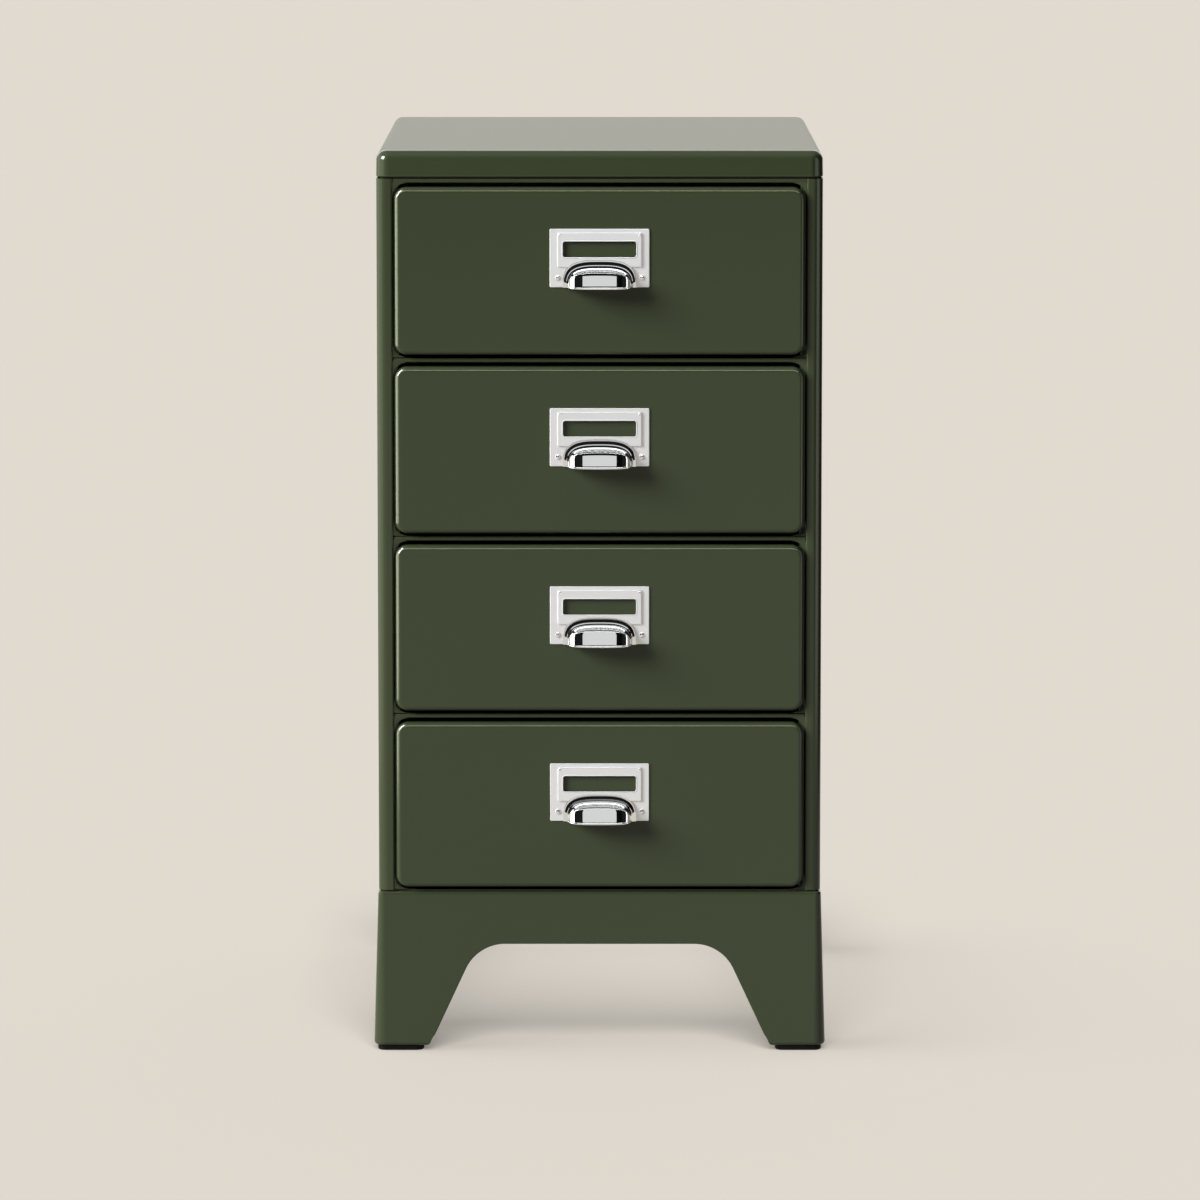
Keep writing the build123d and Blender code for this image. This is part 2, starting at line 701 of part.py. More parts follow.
    # Label frame: a stamped plate with a raised card pocket and its window
    with BuildPart() as label_frame:
        pocket_bottom = plate_top - pocket_top_margin - pocket_height
        with BuildSketch(upright_plane(front_face_y)):
            with Locations((0, plate_bottom + plate_height / 2)):
                RectangleRounded(plate_width, plate_height, plate_corner_radius)
        extrude(amount=plate_sheet)
        with BuildSketch(upright_plane(front_face_y)):
            with Locations((0, pocket_bottom + pocket_height / 2)):
                RectangleRounded(pocket_width, pocket_height, pocket_corner_radius)
        extrude(amount=plate_sheet + pocket_step)
        pocket_edges = label_frame.faces().sort_by(Axis.Y)[0].edges()
        fillet(pocket_edges, radius=plate_sheet / 2)
        with BuildSketch(upright_plane(front_face_y)):
            with Locations((0, pocket_bottom + pocket_height / 2)):
                Rectangle(pocket_width - 2 * plate_sheet, pocket_height - 2 * plate_sheet)
        extrude(amount=pocket_step, mode=Mode.SUBTRACT)
        with BuildSketch(upright_plane(front_face_y)):
            with Locations((0, plate_top - pocket_top_margin - window_drop)):
                RectangleRounded(window_width, window_height, window_radius)
        extrude(amount=plate_sheet + pocket_step, mode=Mode.SUBTRACT)
        with BuildSketch(Plane(origin=(0, front_face_y, plate_bottom), x_dir=(1, 0, 0), z_dir=(0, -1, 0))):
            add(arch_face(
                pull_flange_width + 2 * pull_fit_gap,
                pull_flange_height + pull_fit_gap,
                pull_flange_corner + pull_fit_gap,
            ))
        extrude(amount=plate_sheet + pocket_step, mode=Mode.SUBTRACT)
        with BuildSketch(Plane(origin=(0, front_face_y, plate_bottom), x_dir=(1, 0, 0), z_dir=(0, -1, 0))):
            add(arch_face(
                pull_flange_width + 4 * pull_fit_gap,
                pull_flange_height + 2 * pull_fit_gap,
                pull_flange_corner + 2 * pull_fit_gap,
            ))
        extrude(amount=plate_sheet)
        with BuildSketch(upright_plane(front_face_y)):
            with Locations((0, pull_rivet_z)):
                with GridLocations(pull_rivet_spacing, 1, 2, 1):
                    Circle(pull_rivet_diameter / 2 + hole_clearance)
        extrude(amount=plate_sheet, mode=Mode.SUBTRACT)
    save(label_frame, f"label_frame_{number}")

    # Cup pull: a quarter-round cup, open below, on a thin arched flange
    with BuildPart() as cup_pull:
        pull_plane = Plane(origin=(0, front_y - plate_reach, plate_bottom), x_dir=(1, 0, 0), z_dir=(0, -1, 0))
        with BuildSketch(pull_plane):
            add(arch_face(pull_cup_width, pull_cup_height, pull_cup_corner))
        revolve(axis=Axis(pull_plane.origin, (1, 0, 0)), revolution_arc=90)
        with BuildSketch(pull_plane):
            add(arch_face(pull_flange_width, pull_flange_height, pull_flange_corner))
        extrude(amount=pull_flange_sheet)
        with BuildSketch(pull_plane):
            add(arch_face(
                pull_cup_width - 2 * pull_wall,
                pull_cup_height - pull_wall,
                pull_cup_corner - pull_wall,
            ))
        revolve(axis=Axis(pull_plane.origin, (1, 0, 0)), revolution_arc=90, mode=Mode.SUBTRACT)
    save(cup_pull, f"cup_pull_{number}")

    # Pull rivets: round heads on the plate, flattened tails behind the drawer front
    with BuildPart() as pull_rivets:
        with BuildSketch(upright_plane(front_face_y - plate_sheet)):
            with Locations((0, pull_rivet_z)):
                with GridLocations(pull_rivet_spacing, 1, 2, 1):
                    Circle(pull_rivet_head_diameter / 2)
        extrude(amount=pull_rivet_head_height)
        fillet(pull_rivets.faces().group_by(Axis.Y)[0].edges(), radius=pull_rivet_head_height * 0.8)
        with BuildSketch(upright_plane(front_face_y - plate_sheet)):
            with Locations((0, pull_rivet_z)):
                with GridLocations(pull_rivet_spacing, 1, 2, 1):
                    Circle(pull_rivet_diameter / 2)
        extrude(amount=-(plate_sheet + front_sheet))
        with BuildSketch(upright_plane(front_face_y + front_sheet)):
            with Locations((0, pull_rivet_z)):
                with GridLocations(pull_rivet_spacing, 1, 2, 1):
                    Circle(pull_rivet_tail_diameter / 2)
        extrude(amount=-pull_rivet_tail)
    save(pull_rivets, f"pull_rivets_{number}")
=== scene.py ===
"""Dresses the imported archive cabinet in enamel, plate, chrome, zinc and rubber, under plain studio light.

Metres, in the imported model's own frame: +Z up, +X to the right of someone facing the drawers, and the drawers
open towards -Y.
"""

import json
import logging
from dataclasses import KW_ONLY, dataclass
from enum import Enum
from math import pi, radians

import bmesh
import bpy
import numpy as np
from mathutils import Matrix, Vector
from numpy.typing import NDArray

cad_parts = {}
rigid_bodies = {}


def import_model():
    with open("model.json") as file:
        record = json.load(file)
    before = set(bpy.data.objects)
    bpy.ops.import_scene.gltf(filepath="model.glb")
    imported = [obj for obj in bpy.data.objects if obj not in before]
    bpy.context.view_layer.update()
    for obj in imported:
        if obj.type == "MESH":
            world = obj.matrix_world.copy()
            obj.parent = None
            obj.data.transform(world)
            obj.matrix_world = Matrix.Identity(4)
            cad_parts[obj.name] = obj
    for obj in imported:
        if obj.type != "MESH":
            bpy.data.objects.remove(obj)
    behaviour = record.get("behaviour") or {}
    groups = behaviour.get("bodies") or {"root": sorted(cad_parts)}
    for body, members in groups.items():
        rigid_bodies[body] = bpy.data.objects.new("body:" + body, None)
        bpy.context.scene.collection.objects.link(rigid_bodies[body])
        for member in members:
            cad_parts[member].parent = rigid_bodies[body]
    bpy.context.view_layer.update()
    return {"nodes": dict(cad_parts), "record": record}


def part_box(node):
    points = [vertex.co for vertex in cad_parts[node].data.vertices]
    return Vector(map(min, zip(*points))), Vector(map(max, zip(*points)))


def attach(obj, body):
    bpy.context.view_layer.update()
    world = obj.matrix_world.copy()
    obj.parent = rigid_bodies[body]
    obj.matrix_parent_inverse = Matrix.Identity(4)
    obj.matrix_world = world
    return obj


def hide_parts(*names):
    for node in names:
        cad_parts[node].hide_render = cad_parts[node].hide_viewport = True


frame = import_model()

Array = NDArray[np.float64]
Socket = bpy.types.NodeSocket
Pair = tuple[float, float]
Triple = tuple[float, float, float]
Colour = Triple
Direction = Triple

LOG = logging.getLogger("archive_cabinet")
MM = 0.001
DRAWERS = (1, 2, 3, 4)
# Edges that turn by more than the crease stay sharp, and points closer than the weld are merged
CREASE = radians(38.0)
WELD = 0.004 * MM
# Most values of a noise texture lie in this span
NOISE_SPAN = (0.3, 0.7)
# How names begin: of all pieces, of the floor, of the pieces that stand on it, and of the polished pieces
ALL = ("",)
FLOOR = "studio_floor"
STANDING = ("plinth", "rubber_foot")
POLISHED = ("cup", "label_plate", "rivet")
# The tint of the cards that show in the paint
OLIVE = (0.95, 1.0, 0.80)


class Slot(Enum):
    """The record's material slots."""

    PAINT = "olive_paint"
    PLATE = "satin_plate"
    CHROME = "chrome_pull"
    ZINC = "zinc_steel"
    RUBBER = "black_rubber"


class Face(Enum):
    """The plinth's four sides, each with its outward direction in plan."""

    FRONT = (0, -1)
    BACK = (0, 1)
    LEFT = (-1, 0)
    RIGHT = (1, 0)


class Side(Enum):
    """The two sides of a drawer, each with its sign along X."""

    LEFT = -1
    RIGHT = 1


class End(Enum):
    """The two ends of a drawer's opening, each with its sign along Z."""

    BOTTOM = -1
    TOP = 1


class NodeGraph:
    """A shader node tree that is filled node by node."""

    def __init__(self, tree: bpy.types.NodeTree) -> None:
        """Empties the tree, to start from nothing.

        Args:
            tree: the node tree of a material or a world.
        """
        self.tree = tree
        self.tree.nodes.clear()

    def node(self, kind: str, values: dict[str, object] | None = None, **settings: object) -> bpy.types.Node:
        """Adds one node.

        Args:
            kind: the node's Blender type name.
            values: values for its input sockets, by socket name.
            settings: values for its own properties, by property name.

        Returns:
            The new node.
        """
        made = self.tree.nodes.new(kind)
        for name, value in settings.items():
            setattr(made, name, value)
        for name, value in (values or {}).items():
            made.inputs[name].default_value = value
        return made

    def link(self, source: Socket, node: bpy.types.Node, socket: str | int) -> None:
        """Joins an output socket to a node's input socket."""
        self.tree.links.new(source, node.inputs[socket])

    def noise(self, place: Socket, scale: float, detail: float) -> Socket:
        """Adds a noise texture at a place.

        Args:
            place: the socket with the texture coordinates.
            scale: how many noise cells there are in a metre.
            detail: how many finer octaves are added.

        Returns:
            The socket with the noise value, about 0 to 1.
        """
        made = self.node("ShaderNodeTexNoise", {"Scale": scale, "Detail": detail})
        self.link(place, made, "Vector")
        return made.outputs["Fac"]

    def ramp(self, value: Socket, source: Pair, target: Pair) -> Socket:
        """Maps a value smoothly from one range to another.

        Args:
            value: the socket to map.
            source: the range that the value comes from.
            target: the range that it is mapped to.

        Returns:
            The socket with the mapped value.
        """
        made = self.node("ShaderNodeMapRange", interpolation_type="SMOOTHSTEP")
        for name, number in zip(("From Min", "From Max", "To Min", "To Max"), (*source, *target)):
            made.inputs[name].default_value = number
        self.link(value, made, "Value")
        return made.outputs["Result"]

    def math(self, operation: str, first: Socket, second: Socket | float) -> Socket:
        """Joins two values by one operation.

        Args:
            operation: the Math node's operation.
            first: the socket with the first value.
            second: the second value, a socket or a number.

        Returns:
            The socket with the result.
        """
        made = self.node("ShaderNodeMath", operation=operation)
        self.link(first, made, 0)
        if isinstance(second, float):
            made.inputs[1].default_value = second
        else:
            self.link(second, made, 1)
        return made.outputs[0]

    def tint(self, value: Socket, low: Colour, high: Colour) -> Socket:
        """Mixes two colours by a value.

        Args:
            value: the socket that says how far to go from the low colour to the high one.
            low: the colour at 0.
            high: the colour at 1.

        Returns:
            The socket with the colour.
        """
        made = self.node("ShaderNodeMix", data_type="RGBA")
        # The node's sockets for numbers have the same names, so the ones for colours go by their places
        first, second, mixed = 6, 7, 2
        made.inputs[first].default_value = (*low, 1.0)
        made.inputs[second].default_value = (*high, 1.0)
        self.link(value, made, 0)
        return made.outputs[mixed]


def new_material(name: str) -> tuple[bpy.types.Material, NodeGraph]:
    """Makes a material with an empty node graph.

    Args:
        name: the material's name.

    Returns:
        The material, and its node graph.
    """
    material = bpy.data.materials.new(name)
    material.use_nodes = True
    return material, NodeGraph(material.node_tree)


@dataclass(frozen=True)
class Finish:
    """A surface finish, which makes one procedural material on Object coordinates.

    Attributes:
        name: the material's name.
        low: the darker of its two colours, linear.
        high: the lighter of its two colours, linear.
        gloss: the roughness range, from its shiniest to its dullest spots.
        metallic: 1 for bare metal, 0 for paint and rubber, and between them for a dull plating.
        specular: the shader's specular level.
        cells: noise cells in a metre, for the tone, the gloss and the height.
        octaves: how many finer octaves each of the three noises has.
        relief: the bump's strength, and its height.
    """

    name: str
    low: Colour
    high: Colour
    gloss: Pair
    metallic: float = 0.0
    specular: float = 0.5
    _: KW_ONLY
    cells: Triple
    octaves: Triple
    relief: Pair

    def texture(self, graph: NodeGraph, place: Socket) -> tuple[Socket, ...]:
        """Adds the finish's own pattern: a noise each for the tone, the gloss and the height.

        Args:
            graph: the material's node graph.
            place: the socket with the Object coordinates.

        Returns:
            The three sockets, each about 0 to 1.
        """
        return tuple(graph.noise(place, cells, octaves) for cells, octaves in zip(self.cells, self.octaves))

    def material(self) -> bpy.types.Material:
        """Makes the material, or gives the one that is already made.

        Returns:
            The finished material.
        """
        known = bpy.data.materials.get(self.name)
        if known:
            return known
        made, graph = new_material(self.name)
        place = graph.node("ShaderNodeTexCoord").outputs["Object"]
        tone, dullness, height = self.texture(graph, place)
        strength, distance = self.relief
        bump = graph.node("ShaderNodeBump", {"Strength": strength, "Distance": distance})
        graph.link(height, bump, "Height")
        shader = graph.node("ShaderNodeBsdfPrincipled", {
            "Metallic": self.metallic,
            "Specular IOR Level": self.specular,
        })
        graph.link(graph.tint(tone, self.low, self.high), shader, "Base Color")
        graph.link(graph.ramp(dullness, NOISE_SPAN, self.gloss), shader, "Roughness")
        graph.link(bump.outputs["Normal"], shader, "Normal")
        graph.link(shader.outputs["BSDF"], graph.node("ShaderNodeOutputMaterial"), "Surface")
        return made


@dataclass(frozen=True)
class Enamel(Finish):
    """Sprayed enamel on sheet steel: an even tone, broad clouds of gloss and a faint orange peel."""

    cells: Triple = (8.0, 34.0, 620.0)
    octaves: Triple = (3.0, 2.0, 1.0)
    relief: Pair = (0.012, 0.1 * MM)


@dataclass(frozen=True)
class BrushedMetal(Finish):
    """Plated steel with fine straight brush lines.

    Attributes:
        grain: how the brush noise is stretched: its cells in a metre along X, Y and Z. The lines run along
            the axis with the fewest.
    """

    cells: Triple = (55.0, 1.0, 1.0)
    octaves: Triple = (2.0, 2.0, 2.0)
    relief: Pair = (0.05, 0.03 * MM)
    grain: Triple = (40.0, 4000.0, 4000.0)

    def texture(self, graph: NodeGraph, place: Socket) -> tuple[Socket, ...]:
        """Adds clouds for the tone, and one noise, stretched along the lines, for the gloss and the height.

        Args:
            graph: the material's node graph.
            place: the socket with the Object coordinates.

        Returns:
            The three sockets, each about 0 to 1.
        """
        mapping = graph.node("ShaderNodeMapping", {"Scale": self.grain})
        graph.link(place, mapping, "Vector")
        lines = graph.noise(mapping.outputs["Vector"], self.cells[1], self.octaves[1])
        return graph.noise(place, self.cells[0], self.octaves[0]), lines, lines


@dataclass(frozen=True)
class MirrorPlate(Finish):
    """Polished chrome, barely wavy, with a faint haze from handling."""

    cells: Triple = (40.0, 120.0, 240.0)
    octaves: Triple = (1.0, 3.0, 1.0)
    relief: Pair = (0.01, 0.05 * MM)


@dataclass(frozen=True)
class Moulded(Finish):
    """Moulded rubber: dull, with a fine pebbled skin."""

    cells: Triple = (50.0, 200.0, 1250.0)
    octaves: Triple = (3.0, 2.0, 2.0)
    relief: Pair = (0.25, 0.1 * MM)


FINISHES: dict[Slot, Finish] = {
    Slot.PAINT: Enamel(
        "olive enamel", low=(0.0370, 0.0495, 0.0230), high=(0.0392, 0.0522, 0.0246), gloss=(0.155, 0.170),
        specular=0.30),
    Slot.PLATE: BrushedMetal(
        "satin plate", low=(0.80, 0.815, 0.835), high=(0.82, 0.835, 0.855), gloss=(0.17, 0.23),
        metallic=0.50),
    Slot.CHROME: MirrorPlate(
        "mirror chrome", low=(0.82, 0.825, 0.83), high=(0.84, 0.845, 0.85), gloss=(0.015, 0.04),
        metallic=1.0),
    Slot.ZINC: BrushedMetal(
        "zinc plate", low=(0.42, 0.43, 0.44), high=(0.52, 0.53, 0.54), gloss=(0.30, 0.46),
        metallic=1.0, grain=(2500.0, 30.0, 2500.0)),
    Slot.RUBBER: Moulded(
        "black rubber", low=(0.006, 0.0059, 0.0055), high=(0.009, 0.0088, 0.0084), gloss=(0.66, 0.82),
        specular=0.2),
}


class Shell:
    """A surface on a grid of rows and columns, which becomes one mesh object at the origin."""

    def __init__(self, points: Array, wrap_rows: bool, wrap_columns: bool) -> None:
        """Keeps the grid.

        Args:
            points: the surface as an array of rows, columns and three coordinates.
            wrap_rows: whether the last row joins the first one.
            wrap_columns: whether the last column joins the first one.
        """
        self.points = points
        self.wrap_rows = wrap_rows
        self.wrap_columns = wrap_columns

    def faces(self) -> list[list[int]]:
        """Quads between neighbouring rows and columns, and a flat cap on each open pair of ends.

        Returns:
            The faces as lists of point numbers.
        """
        rows, columns = self.points.shape[:2]
        number = np.arange(rows * columns).reshape(rows, columns)
        grid = np.pad(number, ((0, int(self.wrap_rows)), (0, int(self.wrap_columns))), mode="wrap")
        quads = np.stack([grid[:-1, :-1], grid[:-1, 1:], grid[1:, 1:], grid[1:, :-1]], axis=-1)
        caps: list[list[int]] = []
        if not self.wrap_rows:
            caps += [number[0, ::-1].tolist(), number[-1].tolist()]
        if not self.wrap_columns:
            caps += [number[:, 0].tolist(), number[::-1, -1].tolist()]
        return quads.reshape(-1, 4).tolist() + caps

    def build(self, name: str, body: str, slot: Slot, *nodes: str) -> bpy.types.Object:
        """Makes the mesh, dresses it and hands it to the frame.

        Args:
            name: the piece's name.
            body: the CAD body that it rides on.
            slot: the material slot that it takes its finish from.
            nodes: the CAD nodes that it stands for.

        Returns:
            The finished object.
        """
        mesh = bpy.data.meshes.new(name)
        mesh.from_pydata(self.points.reshape(-1, 3).tolist(), [], self.faces())
        mesh.validate()
        weld_and_face_outwards(mesh)
        mesh.polygons.foreach_set("use_smooth", np.ones(len(mesh.polygons), dtype=bool))
        mesh.set_sharp_from_angle(angle=CREASE)
        piece = bpy.data.objects.new(name, mesh)
        bpy.context.scene.collection.objects.link(piece)
        piece.data.materials.append(FINISHES[slot].material())
        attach(piece, body)
        if nodes:
            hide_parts(*nodes)
        LOG.info("%s: %d faces on %s", name, len(mesh.polygons), body)
        return piece


def weld_and_face_outwards(mesh: bpy.types.Mesh) -> None:
    """Merges points that fall together and turns all faces outwards.

    Args:
        mesh: the mesh to mend in place.
    """
    shape = bmesh.new()
    shape.from_mesh(mesh)
    bmesh.ops.remove_doubles(shape, verts=shape.verts, dist=WELD)
    bmesh.ops.recalc_face_normals(shape, faces=shape.faces)
    shape.to_mesh(mesh)
    shape.free()


def arc(start: float, end: float, steps: int) -> Array:
    """Angles in degrees from start to end, as radians."""
    return np.radians(np.linspace(start, end, steps))


def superellipse(angle: Array, power: float) -> tuple[Array, Array]:
    """Point of a unit superellipse: cosine and sine, each to the power 2 / power with its sign kept.

    Args:
        angle: the angles, in radians.
        power: 2 for a circle, and more for a squarer shape.

    Returns:
        The two coordinates.
    """
    across, up = np.cos(angle), np.sin(angle)
    bend = 2.0 / power
    return np.sign(across) * np.abs(across) ** bend, np.sign(up) * np.abs(up) ** bend


def bent(start: Array, middle: Array, end: Array, steps: int = 12) -> Array:
    """Curve of second degree, from after its start to its end.

    A point is (1 - way) squared times the start, plus 2 way (1 - way) times the middle point, plus way
    squared times the end.

    Args:
        start: where the curve starts.
        middle: the point that it bends towards.
        end: where it ends.
        steps: points along it, with its start.

    Returns:
        An array of points and two coordinates.
    """
    way = np.linspace(0.0, 1.0, steps)[1:, None]
    return (1 - way) ** 2 * start + 2 * way * (1 - way) * middle + way ** 2 * end


def rounded_rings(half: Pair, radius: float, insets: Array, corner_steps: int) -> Array:
    """Rings of a rounded rectangle, one for each inset.

    Each corner is its centre plus the corner radius times (cosine, sine) over a quarter turn. An inset moves
    the sides in and makes the corner radius smaller by as much, but never less than a small one.

    Args:
        half: half of the outline's width and height.
        radius: its corner radius.
        insets: how far in each ring lies.
        corner_steps: points in each corner.

    Returns:
        An array of rings, points and two coordinates.
    """
    smallest = 0.35 * MM
    corner = np.repeat(np.arange(4), corner_steps)
    angle = np.tile(arc(0, 90, corner_steps), 4) + corner * pi / 2
    signs = np.array([(1, 1), (-1, 1), (-1, -1), (1, -1)])[corner]
    rounding = np.maximum(radius - insets, smallest)[:, None, None]
    halves = np.array(half)[None, None, :] - insets[:, None, None]
    ways = np.stack([np.cos(angle), np.sin(angle)], axis=-1)[None]
    return (halves - rounding) * signs[None] + rounding * ways


@dataclass(frozen=True)
class PressedPan:
    """A pressed sheet pan with a rounded front edge and an in-turned rim at its open back.

    Attributes:
        depth: from the open back to the front.
        sheet: the sheet's thickness.
        edge_radius: the radius round the front's edge.
        rim: how far the rim turns in.
        bend: the small bend radius at the rim.
        corner_radius: the radius of the outline's corners.
        draft: how far the sides lean in from the open back to the front's edge.
        flat: how far past the rounding the faces' last points lie.
        near: how far before a rounding the sides' points lie.
        steps: points along each rounding.
        bend_steps: points along the rim's bend.
    """

    depth: float
    sheet: float
    edge_radius: float
    rim: float
    bend: float
    corner_radius: float
    draft: float = 0.0
    flat: float = 1.2 * MM
    near: float = 0.3 * MM
    steps: int = 14
    bend_steps: int = 5

    def profile(self) -> Array:
        """Cross-section from the middle of the inner face, round the rim, to the middle of the outer face.

        Returns:
            An array of (inset, depth) pairs, with the depth counted from the open back.
        """
        outer, inner = self.edge_radius, self.edge_radius - self.sheet
        middle, top = self.draft + outer, self.depth - outer
        inside, outside = arc(90, 0, self.steps), arc(0, 90, self.steps)
        turn = arc(90, 0, self.bend_steps)
        runs = [
            np.array([[middle + self.flat, self.depth - self.sheet]]),
            np.stack([middle - inner * np.cos(inside), top + inner * np.sin(inside)], axis=-1),
            np.array([[self.draft + self.sheet, top - self.near], [self.sheet, self.sheet]]),
            np.array([[self.rim, self.sheet], [self.rim, 0.0]]),
            np.stack([self.bend - self.bend * np.cos(turn), self.bend - self.bend * np.sin(turn)], axis=-1),
            np.array([[0.0, self.bend + self.near], [self.draft, top - self.near]]),
            np.stack([middle - outer * np.cos(outside), top + outer * np.sin(outside)], axis=-1),
            np.array([[middle + self.flat, self.depth]]),
        ]
        return np.concatenate(runs)

    def rings(self, half: Pair) -> tuple[Array, Array]:
        """Carries the cross-section round the outline.

        Args:
            half: half of the outline's width and height.

        Returns:
            The rings in the outline's plane, and each ring's depth as an array that fits them.
        """
        profile = self.profile()
        flat = rounded_rings(half, self.corner_radius, profile[:, 0], self.steps)
        depth = np.broadcast_to(profile[:, 1][:, None], flat.shape[:2])
        return flat, depth


@dataclass
class Lid:
    """The cabinet's lid, a pan that lies face up.

    Attributes:
        pan: the lid's cross-section.
    """

    pan: PressedPan = PressedPan(
        depth=19.0 * MM, sheet=0.8 * MM, edge_radius=7.0 * MM, rim=7.0 * MM, bend=0.9 * MM,
        corner_radius=9.5 * MM, draft=0.2 * MM)

    def build(self) -> None:
        """Builds the pan on the CAD lid's own box, with its depth upwards."""
        low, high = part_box("lid")
        middle = (low + high) / 2
        flat, depth = self.pan.rings(((high.x - low.x) / 2, (high.y - low.y) / 2))
        points = np.stack([flat[..., 0] + middle.x, flat[..., 1] + middle.y, depth + low.z], axis=-1)
        Shell(points, wrap_rows=False, wrap_columns=True).build("lid_pan", "carcass", Slot.PAINT, "lid")


@dataclass
class DrawerFront:
    """One drawer's front, a pan that faces forwards.

    Attributes:
        number: which drawer, 1 at the top.
        pan: the front's cross-section.
    """

    number: int
    pan: PressedPan = PressedPan(
        depth=9.1 * MM, sheet=0.8 * MM, edge_radius=3.4 * MM, rim=6.0 * MM, bend=0.6 * MM,
        corner_radius=8.5 * MM)

    def build(self) -> None:
        """Builds the pan on the CAD front's own box, with its depth towards -Y."""
        node = f"drawer_front_{self.number}"
        low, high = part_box(node)
        middle = (low + high) / 2
        flat, depth = self.pan.rings(((high.x - low.x) / 2, (high.z - low.z) / 2))
        points = np.stack([flat[..., 0] + middle.x, high.y - depth, flat[..., 1] + middle.z], axis=-1)
        Shell(points, wrap_rows=False, wrap_columns=True).build(
            f"drawer_pan_{self.number}", f"drawer_{self.number}", Slot.PAINT, node)


@dataclass
class LabelFrame:
    """One drawer's label frame: a stamped plate with a raised card pocket and a window with a beaded rim.

    Attributes:
        number: which drawer, 1 at the top.
        sheet: the plate's thickness.
        corner_radius: the radius of the plate's corners.
        pocket: half of the pocket's width and height.
        pocket_corner: the radius of the pocket's corners.
        pocket_drop: from the plate's top to the pocket's middle.
        window: half of the window's width and height.
        window_corner: the radius of the window's corners.
        window_drop: from the plate's top to the window's middle.
        round_over: the radius of the pressed edges.
        rim: how far the bead round the window stands up.
        steps: points in each corner.
        edge_steps: points over each pressed edge.
        bead_steps: points over the bead.
    """

    number: int
    sheet: float = 0.9 * MM
    corner_radius: float = 0.9 * MM
    pocket: Pair = (30.2 * MM, 12.35 * MM)
    pocket_corner: float = 1.0 * MM
    pocket_drop: float = 15.05 * MM
    window: Pair = (26.3 * MM, 5.65 * MM)
    window_corner: float = 1.7 * MM
    window_drop: float = 14.7 * MM
    round_over: float = 0.4 * MM
    rim: float = 0.25 * MM
    steps: int = 8
    edge_steps: int = 5
    bead_steps: int = 9

    def band(self, half: Pair, radius: float, drop: float, profile: Array) -> Array:
        """Carries a short profile round one rounded rectangle.

        Args:
            half: half of the rectangle's width and height.
            radius: the radius of its corners.
            drop: from the plate's top down to its middle.
            profile: (inset, height over the drawer's front) pairs.

        Returns:
            An array of rings, points and three coordinates: across and up from the middle of the plate's top,
            and the height.
        """
        rings = rounded_rings(half, radius, profile[:, 0], self.steps) - np.array([0.0, drop])
        height = np.broadcast_to(profile[:, 1][:, None, None], (*rings.shape[:2], 1))
        return np.concatenate([rings, height], axis=-1)

    def build(self) -> None:
        """Builds the frame on the CAD frame's own box.

        The surface runs from the plate's back edge over its rounded front edge, up the pocket's wall, over
        the bead, down through the window and back inside the hollow pocket. Each stretch is its own rounded
        rectangle, and the flats between them close up.
        """
        node = f"label_frame_{self.number}"
        low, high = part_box(node)
        plate = ((high.x - low.x) / 2, (high.z - low.z) / 2)
        top, turn, sheet = high.y - low.y, self.round_over, self.sheet
        # Points on the flats at both sides of each rounding keep the flats flat
        past, before, bead_before = 2 * turn, (-turn, -0.3 * turn), (-4 * turn, -2.5 * turn)
        quarter, bead = arc(0, 90, self.edge_steps), arc(180, 0, self.bead_steps)
        over = np.stack([turn - turn * np.cos(quarter), turn * np.sin(quarter) - turn], axis=-1)
        hollow = tuple(half - sheet for half in self.pocket)
        edge = np.concatenate([[[0.0, 0.0]], over + [0.0, sheet], [[past, sheet]]])
        wall = np.concatenate([[[inset, sheet] for inset in before], over + [0.0, top], [[past, top]]])
        hole = np.concatenate([
            [[inset, top] for inset in bead_before],
            np.stack([turn * (np.cos(bead + pi) - 1), top + self.rim * np.sin(bead)], axis=-1),
            [[0.0, top - turn], [0.0, top - sheet]],
        ])
        behind = np.array([[0.0, top - sheet], [0.0, 0.0]])
        across, up, height = np.moveaxis(np.concatenate([
            self.band(plate, self.corner_radius, plate[1], edge),
            self.band(self.pocket, self.pocket_corner, self.pocket_drop, wall),
            self.band(self.window, self.window_corner, self.window_drop, hole),
            self.band(hollow, self.pocket_corner, self.pocket_drop, behind),
        ]), -1, 0)
        points = np.stack([across + (low.x + high.x) / 2, high.y - height, up + high.z], axis=-1)
        Shell(points, wrap_rows=True, wrap_columns=True).build(
            f"label_plate_{self.number}", f"drawer_{self.number}", Slot.PLATE, node)


